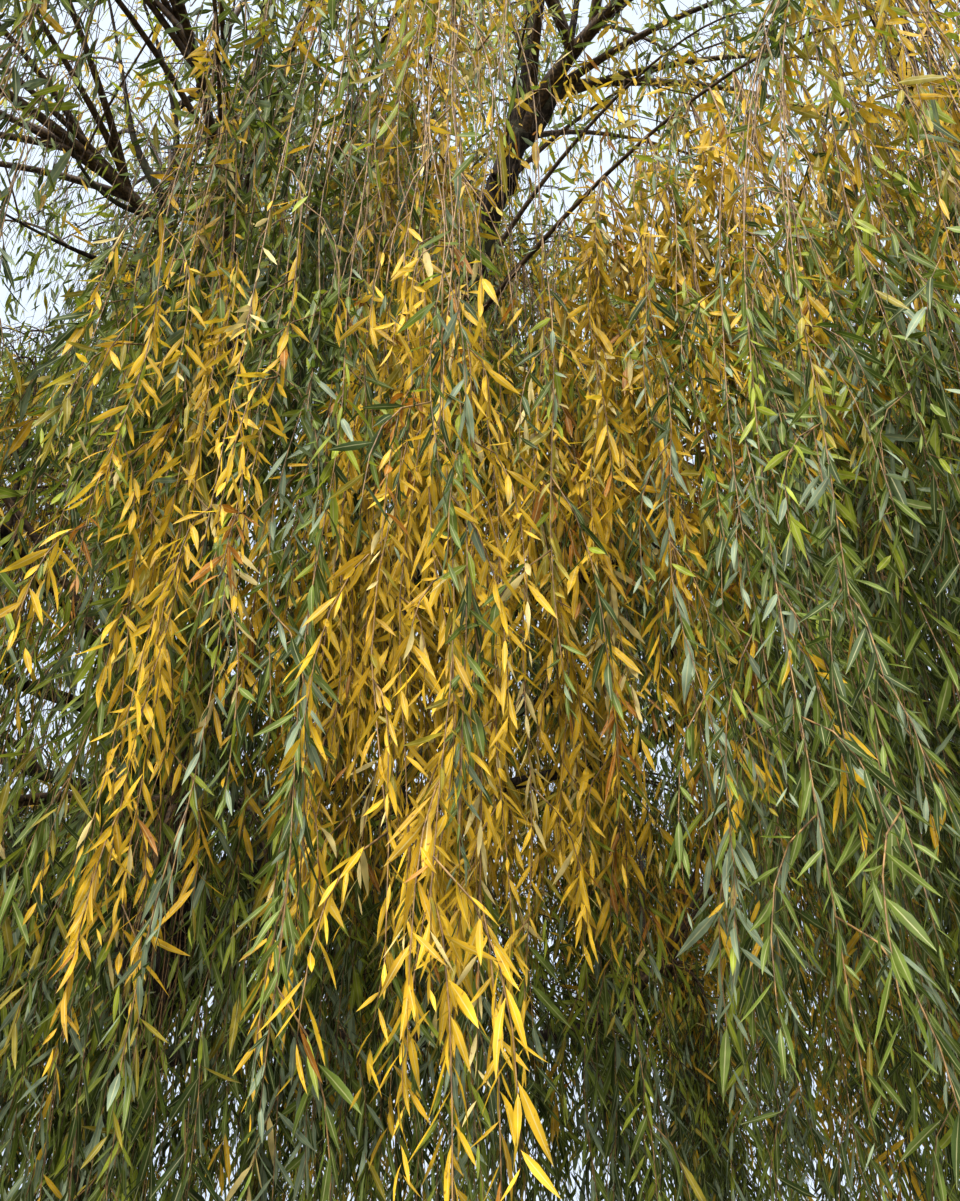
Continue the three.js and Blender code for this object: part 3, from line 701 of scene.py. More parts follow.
def makeArchPaths(arches):
    # Cost of a start: its distance, more where it is above the end or farther out. The arch is a cubic curve
    # that rises from its root and comes down to its end.
    number = np.arange(arches["count"])
    height = mix(arches["lowest"], arches["highest"], (number + 0.5) / len(number))
    azimuth = arches["start"] + arches["sweep"] * ((archRule["turn"] * number) % 1)
    up = np.clip((height - crown["widest"]) / (crown["height"] - crown["widest"]), 0, 1)
    inset = mix(1, mix(arches["inner"], 1, chance(archRule["seed"], number, 0, 1)), up)
    ends = crownPoint(azimuth, arches["reach"] * inset * outline(height, azimuth), height)
    rings = archRule["mainRings"]
    mains = [
        np.column_stack([m["paths"][0, :rings], np.linspace(m["tip"], m["tip"] * 0.5, rings)])
        for m in masses]
    starts = np.concatenate(carriers + mains)
    run = ends[:, None] - starts[None, :, :3]
    distance = lengthOf(run)
    tooHigh = np.maximum(0, archRule["mustRise"] - run[..., 2])
    tooFar = np.maximum(0, crownPlace(starts)[1][None] + archRule["mustReach"] - crownPlace(ends)[1][:, None])
    jitter = chance(archRule["seed"], number[:, None], np.arange(len(starts))[None], 2)
    cost = distance + archRule["above"] * tooHigh + archRule["outside"] * tooFar
    cost = cost + archRule["scatter"] * jitter
    best = (cost + archRule["refused"] * (distance < archRule["shortest"])).argmin(1)
    root, run = starts[best, :3], run[number, best]
    distance = distance[number, best][:, None]
    outward = np.stack([np.cos(azimuth), np.sin(azimuth), 0 * azimuth], -1)
    lift = archRule["rise"] * distance + archRule["riseMore"] * np.maximum(0, run[:, 2:])
    first = root + archRule["out"] * run * (1, 1, 0) + lift * (0, 0, 1)
    out, down = archRule["comesIn"]
    last = ends - archRule["turnIn"] * distance * unit(out * outward - (0, 0, down))
    share = np.linspace(0, 1, archRule["rings"])[None]
    paths = bezierPoint([corner[:, None] for corner in (root, first, last, ends)], share)
    thick = archRule["root"] + archRule["rootPerMetre"] * distance[:, 0]
    return paths, np.minimum(thick, archRule["rootShare"] * starts[best, 3])


# Where limbs show in the photograph: an oval's middle and half sizes in its pixels, the distance that it
# counts up to, and the share that stays of the twigs that cross it.
limbWindows = [
    ((150, 130), (70, 140), 7.9, 0.35),
    ((50, 120), (90, 110), 12.0, 0.70),
    ((532, 150), (34, 180), 7.4, 0.45),
]


def besideLimbs(points):
    # The share that stays of twigs, each a row of points: less where one stands before a limb that shows.
    places, distance = seenAt(points)
    keep = np.ones(len(points))
    for at, size, metres, keeps in limbWindows:
        crosses = ((ovalDistance(places, at, size) < 1) & (distance < metres)).any(1)
        keep = np.where(crosses, np.minimum(keep, keeps), keep)
    return keep


archPaths, archRoots = (np.concatenate(both) for both in zip(*[makeArchPaths(arches) for arches in archSets]))
archStays = chance(archRule["seed"], np.arange(len(archPaths)), 0, 7) < besideLimbs(archPaths)
archPaths, archRoots = archPaths[archStays], archRoots[archStays]


# Stems: brown, tapering from the limb's own thickness to a whip's

def stemTubes(paths, roots):
    # Tubes that start a little inside what they spring from and thin by a 1.5 power of what is left.
    start = paths[:, 0] - stemRule["sunk"] * unit(paths[:, 1] - paths[:, 0])
    points = np.concatenate([start[:, None], paths], 1)
    falls = (1 - np.concatenate([[0], np.linspace(0, 1, paths.shape[1])])) ** stemRule["thins"]
    radii = stemRule["end"] + (roots[:, None] - stemRule["end"]) * falls[None]
    return tubes(points, radii, stemRule["sides"])


def makeStems():
    # One joined piece for each ring of masses, which stands for that ring's nodes, and one for the arches.
    for kind in ("skirt", "shoulder", "crest", "inner", "low"):
        parts, nodes = [], []
        for mass in (m for m in masses if m["kind"] == kind):
            roots = np.full(len(mass["paths"]), mass["tip"] * stemRule["sideShare"])
            roots[0] = mass["tip"] * stemRule["mainShare"]
            parts.append(stemTubes(mass["paths"], roots))
            nodes.append("foliage_" + mass["name"])
        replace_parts(newPiece(f"stems_{kind}", *joined(parts), stemSkin, "bark"), *nodes)
    newPiece("arches", *stemTubes(archPaths, archRoots), stemSkin, "bark")


makeStems()
print("stems made:", sum(len(m["paths"]) for m in masses), "arches:", len(archPaths))


# Whips: each strand hangs from a point, swings out to its heading and then falls. It is a row of values.
whipRule = {
    "first": 0.995, "over": 0.82, "endSwing": 0.06, "floorGap": 0.06, "fall": 1.25, "sway": 0.015,
    "part": (0.5, 1), "swing": (0.3, 1), "shortest": 0.3, "thick": (0.8, 1.3), "root": 0.0032,
    "ripple": 0.045, "rippleLength": 0.9, "clearOfViewer": 2.05, "clearOfTrunk": 0.3, "overTrunk": 0.2,
    "lift": 0.95, "liftAt": (2.3, -5.6), "liftSize": (0.85, 1.3), "overArch": 0.8, "roundTop": 10.0,
    "mayLeave": 0.08, "mayHide": 0.62, "samples": 9,
}
columnsOf = ("x", "y", "z", "heading", "swing", "length", "sway", "ripple", "phase", "fall", "key", "thick")


def strandsOf(start, **values):
    # Strands from points as one array, a row each, from named arrays of values: 0 where none is given.
    rest = [np.asarray(values.get(name, 0.0), float) for name in columnsOf[3:]]
    return np.stack(np.broadcast_arrays(*start.T, *rest), -1)


def column(strands, name):
    # One named value of every strand.
    return strands[..., columnsOf.index(name)]


def strandPoint(strands, share):
    # From the root, out by swing times 1-(1-s)^3 with a slow sway, down by the length times s to the fall
    # power, and sideways by a ripple that grows down the strand.
    x, y, z, heading, swing, length, sway, ripple, phase, fall = np.moveaxis(strands[..., :10], -1, 0)
    out = swing * (1 - (1 - share) ** 3) + sway * np.sin(1.5 * np.pi * share)
    wave = ripple * share * np.sin(2 * np.pi * (share * length / whipRule["rippleLength"] + phase))
    east = x + out * np.cos(heading) - wave * np.sin(heading)
    north = y + out * np.sin(heading) + wave * np.cos(heading)
    return np.stack([east, north, z - length * share ** fall], -1)


def alongPaths(paths, which, share):
    # The point at a share of sampled paths: on the straight line between the two samples beside it.
    place = np.clip(share, 0, 1) * (paths.shape[1] - 1)
    low = np.minimum(place.astype(int), paths.shape[1] - 2)
    return mix(paths[which, low], paths[which, low + 1], (place - low)[:, None])


def whipsOf(paths, rule, kind, seed, longest):
    # Whip 0 goes on from the stem's end. The others hang at shares of the stem that part it ever more finely.
    # The whips end higher in front of the viewer: a rise that dies out by the square of the distance.
    number, hanging = np.meshgrid(np.arange(1, len(paths) + 1), np.arange(rule["whips"]), indexing="ij")
    number, hanging = number.ravel(), hanging.ravel()
    random = partial(chance, seed, number, hanging)
    start = alongPaths(paths, number - 1, whipRule["first"] - whipRule["over"] * between(hanging))
    azimuth, radius, height = crownPlace(start)
    last = hanging == 0
    part = np.where(last, 1, mix(*whipRule["part"], random(3)))
    swing = np.where(last, whipRule["endSwing"], rule["throw"] * mix(*whipRule["swing"], random(2)))
    lift = whipRule["lift"] * np.exp(-ovalDistance(start[:, :2], whipRule["liftAt"], whipRule["liftSize"]))
    floor = floorAt(kind, azimuth, radius) + whipRule["floorGap"] + swing / 2 + lift
    length = np.minimum(np.broadcast_to(longest, len(paths))[number - 1], height - floor) * part
    strands = strandsOf(
        start, heading=2 * np.pi * random(1), swing=swing, length=length, fall=whipRule["fall"],
        sway=whipRule["sway"] * length * np.cos(2 * np.pi * random(4)), ripple=whipRule["ripple"] * random(6),
        phase=random(5), key=seed * 1000 + number * 40 + hanging,
        thick=whipRule["root"] * mix(*whipRule["thick"], random(7)))
    return strands[length > whipRule["shortest"]]


def clearStrands(strands):
    # Leaves out strands that would pass through the viewer's place or the trunk, or leave the crown's
    # outline, and most of those that would hang across the limbs that show.
    # Over its widest level the outline is taken a little lower down, as stems arch over it before they fall.
    points = strandPoint(strands[:, None], np.linspace(0, 1, whipRule["samples"])[None])
    toViewer = lengthOf(points - np.array(viewer["position"])).min(1)
    lean = trunkPath(np.clip(points[..., 2] / trunk["forkHeight"], 0, 1) ** (1 / trunk["ringPower"]))
    toTrunk = np.hypot(points[..., 0] - lean[..., 0], points[..., 1])
    beside = points[..., 2] < trunk["forkHeight"] + whipRule["overTrunk"]
    toTrunk = np.where(beside, toTrunk, math.inf).min(1)
    azimuth, radius, height = crownPlace(points)
    lowered = np.clip(
        height - whipRule["overArch"], np.minimum(height, crown["widest"]), whipRule["roundTop"])
    inside = (radius - outline(lowered, azimuth)).max(1) < whipRule["mayLeave"]
    stays = (toViewer > whipRule["clearOfViewer"]) & (toTrunk > whipRule["clearOfTrunk"]) & inside
    hides = chance(column(strands, "key"), 9, 9, 9) > besideLimbs(points)
    return strands[stays & ~(hides & (column(strands, "length") > whipRule["mayHide"]))]


# Denser curtains in front of the viewer: more whips hang from the same stems, each to a tip of its own.
curtains = [
    {"count": 130, "x": (1.3, 3.7), "y": (-5.2, -4.3), "tips": (1.9, 3.2), "power": 1.3, "key": 70000},
    {"count": 380, "x": (-0.8, 5.6), "y": (-4.3, -2.3), "tips": (0.9, 2.8), "power": 2.0, "key": 74000},
    {"count": 420, "x": (-3.4, 6.4), "y": (1.6, 5.0), "tips": (0.7, 2.4), "power": 1.5, "key": 78000},
    {"count": 200, "x": (4.0, 6.6), "y": (-3.4, 2.4), "tips": (0.7, 2.4), "power": 1.5, "key": 82000},
    {"count": 180, "x": (-3.6, -0.6), "y": (-3.6, 2.0), "tips": (0.7, 2.6), "power": 1.5, "key": 86000},
]
# Whips that stand out. Each: the place of its tip, how golden it is, from 0 to 1, and how many there are.
leadingWhips = {
    "goldStrand": ((2.33, -5.38, 1.64), 0.97, 5),
    "greenStrand": ((2.36, -5.44, 1.96), 0.12, 1),
    "greenAbove": ((2.34, -5.60, 2.54), 0.20, 2),
    "paleStrand": ((2.56, -5.37, 2.30), 0.30, 1),
    "middleStrand": ((2.81, -5.17, 1.88), 0.20, 2),
    "rightLow": ((2.92, -5.39, 1.64), 0.12, 2),
    "rightMiddle": ((3.05, -5.39, 2.00), 0.10, 2),
    "rightInner": ((3.00, -5.32, 2.18), 0.15, 2),
    "rightEdge": ((3.03, -5.46, 1.85), 0.08, 1),
    "leftLow": ((2.07, -5.24, 1.64), 0.08, 2),
    "leftLowEdge": ((1.93, -5.30, 1.88), 0.10, 2),
    "leftGold": ((1.91, -5.42, 2.46), 0.80, 2),
    "leftGoldEdge": ((1.68, -5.38, 2.44), 0.70, 2),
    "leftOrange": ((1.73, -5.08, 2.03), 0.92, 3),
    "lowGold": ((2.51, -4.82, 1.83), 0.90, 2),
    "lowGoldLeft": ((2.08, -4.96, 1.94), 0.92, 3),
    "topSage": ((2.38, -5.55, 3.70), 0.05, 2),
}
hangRule = {
    "perMetreUp": 0.12, "rise": (0.9, 4.6), "refused": 50, "most": 40, "widest": 1.0, "sway": 0.05,
    "ripple": (0.02, 0.04), "fall": 1.15, "thick": (0.0022, 0.0031), "steps": (0.7548776662, 0.5698402910),
    "leadingKey": 80000, "apart": 0.09, "turn": 2.4, "lift": 0.35,
}


def hungTo(tips, key):
    # Whips to given tips. Each hangs from the stem point that is nearest across and well above it.
    tops = [m["paths"][:, 3:].reshape(-1, 3) for m in masses] + [archPaths[:, 4:].reshape(-1, 3)]
    tops = np.concatenate(tops)
    rise = tops[None, :, 2] - tips[:, None, 2]
    least, most = hangRule["rise"]
    cost = lengthOf(tops[None, :, :2] - tips[:, None, :2]) + hangRule["perMetreUp"] * rise
    refused = hangRule["refused"]
    cost = cost + np.where(rise > least, 0, refused) + np.where(rise < most, 0, refused)
    best = cost.argmin(1)
    run = tips - tops[best]
    number = np.arange(len(tips))
    random = partial(chance, key, number, 0)
    strands = strandsOf(
        tops[best], heading=np.arctan2(run[:, 1], run[:, 0]), swing=np.hypot(run[:, 0], run[:, 1]),
        length=-run[:, 2], sway=hangRule["sway"] * (random(1) - 0.5),
        ripple=mix(*hangRule["ripple"], random(2)),
        phase=random(3), fall=hangRule["fall"], key=key + number, thick=mix(*hangRule["thick"], random(4)))
    return strands[(cost[number, best] < hangRule["most"]) & (column(strands, "swing") < hangRule["widest"])]


def curtainWhips(curtain):
    # Tips spread evenly by two irrational steps, at heights that a seeded number to a power gives.
    number = np.arange(curtain["count"])
    x, y = (mix(*curtain[side], (number * step) % 1) for side, step in zip("xy", hangRule["steps"]))
    low = mix(*curtain["tips"], chance(71, number, curtain["count"], 1) ** curtain["power"])
    return hungTo(np.stack([x, y, low], -1), curtain["key"])


def leadingStrands():
    # The whips that stand out, each with its neighbours a hand's breadth away.
    rows, golds = [], []
    for order, (tip, gold, count) in enumerate(leadingWhips.values()):
        for twin in range(count):
            turn = hangRule["turn"] * twin + order
            aside = np.array([math.cos(turn), math.sin(turn), 0]) * hangRule["apart"]
            aside[2] = hangRule["lift"] * chance(72, order, twin, 1)
            rows.append(np.array(tip) + (aside if twin else 0))
            golds.append(gold)
    return hungTo(np.array(rows), hangRule["leadingKey"]), np.array(golds)


archLongest = mix(*archRule["longest"], chance(archRule["seed"], np.arange(len(archPaths)), 0, 5))
whips = [whipsOf(m["paths"], m, m["kind"], m["seed"], m["longest"]) for m in masses]
whips.append(whipsOf(archPaths, archRule, "arch", archRule["seed"], archLongest))
whips = clearStrands(np.concatenate(whips + [curtainWhips(curtain) for curtain in curtains]))
heroes, heroGold = leadingStrands()
print("whips:", len(whips), "leading whips:", len(heroes))


# Side shoots spring from the whips all round and hang beside them, so that whips carry sprays, not rows.
shootRule = {
    "perMetre": 1.5, "perMetreNear": 3.0, "near": 3.4, "along": (0.1, 0.97), "swing": (0.05, 0.16),
    "length": (0.18, 0.6), "past": 0.22, "fullSwing": 0.35, "leastSwing": 0.4, "thick": 0.0018, "fall": 1.2,
    "turn": 2.4, "onStem": 15, "alongStem": (0.18, 0.98), "stemSwing": (0.12, 0.40),
    "stemLength": (0.12, 0.45), "rising": 0.45, "riseBelow": 10.7, "stemRise": (0.05, 0.20), "stemFall": 2.0,
    "stemThick": 1.3,
}


def shootsOf(strands, salt):
    # Shoots at even shares of each whip, turned by the golden angle from one to the next.
    near = nearness(strandPoint(strands, 0.6)) < shootRule["near"]
    perMetre = np.where(near, shootRule["perMetreNear"], shootRule["perMetre"])
    count = np.maximum(1, np.round(column(strands, "length") * perMetre).astype(int))
    owner, place = dealt(count)
    key = column(strands, "key")[owner] + salt
    random = partial(chance, key, place, 3)
    share = mix(*shootRule["along"], (place + 0.2 + 0.6 * random(1)) / count[owner])
    left = column(strands, "length")[owner] * (1 - share)
    length = np.minimum(mix(*shootRule["length"], random(2)), left + shootRule["past"])
    grown = np.clip(length / shootRule["fullSwing"], shootRule["leastSwing"], 1)
    made = strandsOf(
        strandPoint(strands[owner], share), heading=shootRule["turn"] * place + fullTurn * random(4),
        swing=mix(*shootRule["swing"], random(3)) * grown, length=length, fall=shootRule["fall"],
        key=key * 3 + place * 17, thick=shootRule["thick"])
    return made, owner


def stemShootsOf(paths, seed):
    # Short shoots that clothe the stems: they leave nearly level, all round, and then droop or rise.
    number, place = np.meshgrid(np.arange(len(paths)), np.arange(shootRule["onStem"]), indexing="ij")
    number, place = number.ravel(), place.ravel()
    random = partial(chance, seed + 0.5, number, place)
    share = mix(*shootRule["alongStem"], (place + random(1)) / shootRule["onStem"])
    start = alongPaths(paths, number, share)
    rises = (random(5) < shootRule["rising"]) & (start[:, 2] < shootRule["riseBelow"])
    drop = np.where(rises, -mix(*shootRule["stemRise"], random(4)), mix(*shootRule["stemLength"], random(4)))
    return strandsOf(
        start, heading=shootRule["turn"] * place + fullTurn * random(2),
        swing=mix(*shootRule["stemSwing"], random(3)), length=drop, fall=shootRule["stemFall"],
        key=seed * 700 + number * 31 + place, thick=shootRule["thick"] * shootRule["stemThick"])


shoots = [shootsOf(whips, 0)[0], stemShootsOf(archPaths, archRule["seed"])]
shoots += [stemShootsOf(mass["paths"], mass["seed"]) for mass in masses]
shoots = clearStrands(np.concatenate(shoots))
heroShoots, heroOwner = shootsOf(heroes, 5)
print("side shoots:", len(shoots), len(heroShoots))


# Twigs nearer the viewer are rounder. Each form: rings along it, sides round it, and the tip's radius.
twigForms = {
    "leading": (26, 6, 0.0011), "near": (18, 5, 0.0011), "far": (5, 3, 0.0011),
    "leadingShoot": (6, 5, 0.0009), "nearShoot": (5, 4, 0.0009), "farShoot": (3, 3, 0.0008),
}
twigRule = {"near": 3.6, "whipPieces": 2, "shootPieces": 3}


def strandTubes(strands, form):
    # Tubes along strands, which thin evenly from their root to the radius at the tip.
    rings, sides, tip = twigForms[form]
    share = np.linspace(0, 1, rings)
    points = strandPoint(strands[:, None], share[None])
    return tubes(points, mix(column(strands, "thick")[:, None], tip, share[None]), sides)


def makeTwigs():
    # One piece for all that is near the viewer, and even parts of the rest, each a piece.
    close = nearness(strandPoint(whips, 0.6)) < twigRule["near"]
    closeShoots = nearness(strandPoint(shoots, 0.5)) < twigRule["near"]
    parts = [strandTubes(heroes, "leading"), strandTubes(whips[close], "near")]
    parts += [strandTubes(heroShoots, "leadingShoot"), strandTubes(shoots[closeShoots], "nearShoot")]
    newPiece("whips_near", *joined(parts), whipSkin, "bark")
    for order, some in enumerate(np.array_split(whips[~close], twigRule["whipPieces"])):
        newPiece(f"whips_far_{order + 1}", *strandTubes(some, "far"), stemSkin, "bark")
    for order, some in enumerate(np.array_split(shoots[~closeShoots], twigRule["shootPieces"])):
        newPiece(f"shoots_far_{order + 1}", *strandTubes(some, "farShoot"), stemSkin, "bark")


makeTwigs()
print("twig pieces made:", 1 + twigRule["whipPieces"] + twigRule["shootPieces"])


# Leaves. Two numbers are the ends of a range. forms are the distances at which leaves get simpler.
leafRule = {
    "spacing": 0.034, "spacingPerMetre": 0.0055, "spacingFrom": 2.0, "widestSpacing": 0.072, "bareRoot": 0.06,
    "length": 0.114, "lengthVaries": (0.7, 1.25), "vigour": (0.82, 1.18), "slender": 6.3,
    "slim": (0.72, 1.12), "growPerMetre": 0.055, "growFrom": 2.4, "largest": 1.45, "tipSize": 0.5,
    "tipGrows": 2.6, "spread": (10, 66), "roll": (-1.5, 1.5), "bend": (-0.26, 0.24), "twist": (-1.1, 1.1),
    "fold": 0.3, "turn": 2.4, "turnVaries": 0.7, "droop": 0.42, "sprayLength": 0.4, "keepsTint": 0.76,
    "clearOfViewer": 1.1, "clearOfGround": 0.5, "forms": (2.3, 4.2, 7.6), "mostTriangles": 190000,
}
leafForms = {
    "near": {"rows": (0.05, 0.18, 0.4, 0.64, 0.85), "widths": (0.12, 0.6, 1.0, 0.84, 0.42), "rib": True},
    "middle": {"rows": (0.26, 0.66), "widths": (0.84, 0.86), "rib": True},
    "far": {"rows": (0.26, 0.68), "widths": (0.88, 0.8), "rib": False},
    "farthest": {"rows": (0.42,), "widths": (1.25,), "rib": False},
}
# How gold a place is: a middle value with slow waves, and bunches in front of the viewer that turned early or
# stayed green. Each bunch: an oval's middle and half sizes in metres, its own gold value, and its weight.
goldRule = {"middle": 0.31, "broad": 0.22, "fine": 0.12, "perSpray": 0.30, "fixedShare": 0.4, "pull": 7}
bunches = {
    "goldCentre": ((2.55, -4.90, 3.00), (0.48, 1.00, 0.72), 0.98, 2.6),
    "goldUpper": ((2.83, -4.90, 3.80), (0.45, 0.90, 0.60), 0.88, 1.8),
    "goldLow": ((2.60, -5.10, 2.25), (0.30, 0.45, 0.35), 0.92, 1.6),
    "goldLeft": ((1.76, -5.20, 2.80), (0.20, 0.35, 0.30), 0.74, 1.0),
    "orangeLeft": ((1.62, -4.90, 2.15), (0.25, 0.40, 0.25), 0.92, 1.4),
    "goldLowLeft": ((2.05, -4.95, 2.05), (0.25, 0.35, 0.25), 0.90, 1.4),
    "greenUpperLeft": ((1.80, -5.00, 3.60), (0.45, 0.80, 0.50), 0.24, 1.6),
    "greenRight": ((3.35, -5.00, 2.40), (0.42, 0.80, 1.20), 0.08, 2.0),
    "greenLow": ((2.40, -3.60, 1.70), (2.60, 1.40, 0.60), 0.12, 1.6),
    "greenFarLeft": ((1.15, -4.60, 3.15), (0.38, 1.00, 0.80), 0.15, 1.8),
    "greenLeftLow": ((1.85, -5.10, 1.70), (0.50, 0.50, 0.30), 0.08, 1.6),
    "goldHigh": ((3.00, -4.40, 5.00), (0.80, 0.80, 0.80), 0.75, 1.0),
}
# Shares of the tints in a spray, from the greenest to the most golden, in the order of tints.
tintShares = np.array([
    [0.01, 0.01, 0.03, 0.00, 0.00, 0.07, 0.36, 0.30, 0.22],
    [0.04, 0.02, 0.08, 0.01, 0.00, 0.20, 0.35, 0.15, 0.15],
    [0.32, 0.09, 0.17, 0.02, 0.01, 0.22, 0.11, 0.02, 0.04],
    [0.56, 0.15, 0.13, 0.05, 0.02, 0.08, 0.01, 0.00, 0.00],
    [0.70, 0.15, 0.05, 0.07, 0.03, 0.00, 0.00, 0.00, 0.00],
])
# Where the photograph is open: an oval's middle and half sizes in its pixels, the share of leaves that stays,
# and the two distances that it counts between.
# The first row keeps the whips nearest the viewer bare above, as their leaves stand on their lower halves.
openings = [
    ((480, 60), (900, 270), 0.10, (0.0, 3.1)),
    ((480, 70), (900, 200), 0.60, (3.1, 30)),
    ((100, 110), (170, 200), 0.30, (2.2, 30)),
    ((30, 280), (100, 100), 0.3, (3.0, 30)),
    ((900, 20), (120, 110), 0.3, (3.0, 30)),
    ((525, 160), (54, 240), 0.16, (0, 7.5)),
    ((715, 460), (45, 60), 0.4, (3.0, 30)),
    ((40, 620), (90, 240), 0.45, (3.0, 30)),
    ((160, 900), (40, 190), 0.25, (2.2, 6.5)),
]


def goldAt(points, spray, fixed):
    # The waves' value, pulled to each bunch's own by its weight times e to the minus the distance squared.
    x, y, z = points.T
    broad = np.sin(1.7 * x + 0.6 * z + 1.1) * np.sin(1.5 * y - 0.4 * z + 0.4)
    broad = broad + np.sin(1.3 * z + 0.9 * x - 0.7 * y)
    fine = np.sin(4.3 * x + 2.1 * y) * np.sin(3.1 * z - 3.7 * y + 2.0)
    total = goldRule["middle"] + goldRule["broad"] * broad + goldRule["fine"] * fine
    weights = np.ones(len(points))
    for at, size, gold, pull in bunches.values():
        weight = goldRule["pull"] * pull * np.exp(-ovalDistance(points, at, size))
        total += weight * gold
        weights += weight
    luck = goldRule["perSpray"] * (chance(spray, 1, 2, 8) - 0.5)
    value = total / weights + luck * np.clip(2 / weights, 0.5, 1)
    return np.where(np.isnan(fixed), value, fixed + goldRule["fixedShare"] * luck)


def leavesOn(strands, fixed, dense, size=1.0):
    # Where leaves stand: at even shares of each strand, every one with its own row of values.
    distance = nearness(strandPoint(strands, 0.55))
    further = np.maximum(0, distance - leafRule["spacingFrom"])
    spacing = leafRule["spacing"] + leafRule["spacingPerMetre"] * further
    spacing = np.minimum(spacing, leafRule["widestSpacing"]) / dense
    bare = leafRule["bareRoot"]
    reach = np.maximum(column(strands, "length"), column(strands, "swing"))
    count = np.maximum(2, np.round(reach * (1 - bare) / spacing).astype(int))
    owner, place = dealt(count)
    held = strands[owner]
    key = column(held, "key")
    random = partial(chance, key * 0.37, place, 7)
    share = mix(bare, 1.0, (place + 0.3 + 0.7 * random(1)) / count[owner]).clip(0, 0.998)
    base = strandPoint(held, share)
    along = unit(strandPoint(held, np.minimum(share + 0.004, 1)) - strandPoint(held, share - 0.004))
    away = nearness(base)
    grow = np.clip(1 + leafRule["growPerMetre"] * (away - leafRule["growFrom"]), 1, leafRule["largest"])
    towardsTip = np.clip(leafRule["tipGrows"] * (1 - share) + leafRule["tipSize"], leafRule["tipSize"], 1)
    vigour = mix(*leafRule["vigour"], chance(key, 3, 3, 3))
    length = size * leafRule["length"] * grow * towardsTip * vigour
    length = length * mix(*leafRule["lengthVaries"], random(2))
    angle = leafRule["turn"] * place + leafRule["turnVaries"] * random(3)
    shape = {name: mix(*leafRule[name], random(use)) for use, name in enumerate(
        ("spread", "roll", "bend", "twist", "slim"), 4)}
    return {
        **shape, "base": base, "along": along, "length": length, "away": away, "fixed": fixed[owner],
        "spray": np.floor(key * 7 + share * column(held, "length") / leafRule["sprayLength"]),
        "angle": angle + fullTurn * chance(key, 5, 5, 5),
        "draw": random(9), "keep": random(11), "pick": random(12),
    }


def thinned(leaves):
    # Leaves out those too near the viewer and most of those that would close the sky that shows.
    places, distance = seenAt(leaves["base"])
    keep = np.ones(len(distance))
    for at, size, keeps, (nearest, farthest) in openings:
        inside = np.clip(1.6 * (1 - ovalDistance(places, at, size)), 0, 1)
        inside = inside * (distance > nearest) * (distance < farthest)
        keep = np.minimum(keep, 1 - inside * (1 - keeps))
    clear = (distance > leafRule["clearOfViewer"]) & (leaves["base"][:, 2] > leafRule["clearOfGround"])
    stays = (leaves["keep"] < keep) & clear
    return {name: values[stays] for name, values in leaves.items()}


def tintOf(leaves):
    # A spray's gold value picks a row of shares. Most of its leaves share one tint, the rest draw again.
    gold = goldAt(leaves["base"], leaves["spray"], leaves["fixed"])
    row = np.clip((gold * len(tintShares)).astype(int), 0, len(tintShares) - 1)
    ladder = np.cumsum(tintShares / tintShares.sum(1, keepdims=True), 1)[row]
    shared = (chance(leaves["spray"], 2, 2, 2)[:, None] > ladder).sum(1)
    own = (leaves["draw"][:, None] > ladder).sum(1)
    return np.minimum(np.where(leaves["pick"] < leafRule["keepsTint"], shared, own), len(leafTints) - 1)


def bladeFaces(across, rows):
    # A fan from the base, two triangles between neighbours in each two rows, and a fan to the tip.
    cell = np.arange(across - 1)
    template = [np.stack([0 * cell, cell + 2, cell + 1], -1)]
    for row in range(rows - 1):
        a = 1 + row * across + cell
        template += [np.stack([a, a + 1, a + 1 + across], -1), np.stack([a, a + 1 + across, a + across], -1)]
    a = 1 + (rows - 1) * across + cell
    return np.concatenate(template + [np.stack([a, a + 1, 0 * a + 1 + rows * across], -1)])


def leafBlades(leaves, form):
    # A blade lies on its own direction, which leaves the twig by the spread. Half its width is a profile of
    # rows, it bends to its face by the square of the way along, twists evenly and folds up along its rib.
    along, base = leaves["along"], leaves["base"]
    angle, roll, length = (leaves[name][:, None] for name in ("angle", "roll", "length"))
    spread = np.radians(leaves["spread"])[:, None]
    side = unit(np.cross(along, np.array([0.31, 0.17, 0.05]) + 0 * along))
    outward = side * np.cos(angle) + np.cross(along, side) * np.sin(angle)
    heading = unit(along * np.cos(spread) + outward * np.sin(spread) - np.array([0, 0, leafRule["droop"]]))
    face = unit(outward - heading * (outward * heading).sum(-1, keepdims=True))
    flat = np.cross(heading, face)
    face, flat = face * np.cos(roll) + flat * np.sin(roll), flat * np.cos(roll) - face * np.sin(roll)
    columns, rows = np.array([-1.0, 0.0, 1.0] if form["rib"] else [-1.0, 1.0]), len(form["rows"])
    share = np.concatenate([[0], np.repeat(form["rows"], len(columns)), [1]])
    wide = np.concatenate([[0], np.repeat(form["widths"], len(columns)), [0]])
    place = np.concatenate([[0], np.tile(columns, rows), [0]])
    half = length / leafRule["slender"] * leaves["slim"][:, None] * wide / 2
    turn = leaves["twist"][:, None] * share
    lift = leaves["bend"][:, None] * length * share ** 2 + leafRule["fold"] * np.abs(place) * half
    points = (
        base[:, None] + heading[:, None] * (length * share)[..., None]
        + flat[:, None] * (place * half * np.cos(turn))[..., None]
        + face[:, None] * (place * half * np.sin(turn) + lift)[..., None])
    uv = np.stack([0.5 + 0.5 * place, share], -1)
    faces = bladeFaces(len(columns), rows)[None] + (np.arange(len(base)) * len(share))[:, None, None]
    return points.reshape(-1, 3), faces.reshape(-1, 3), np.tile(uv, (len(base), 1))


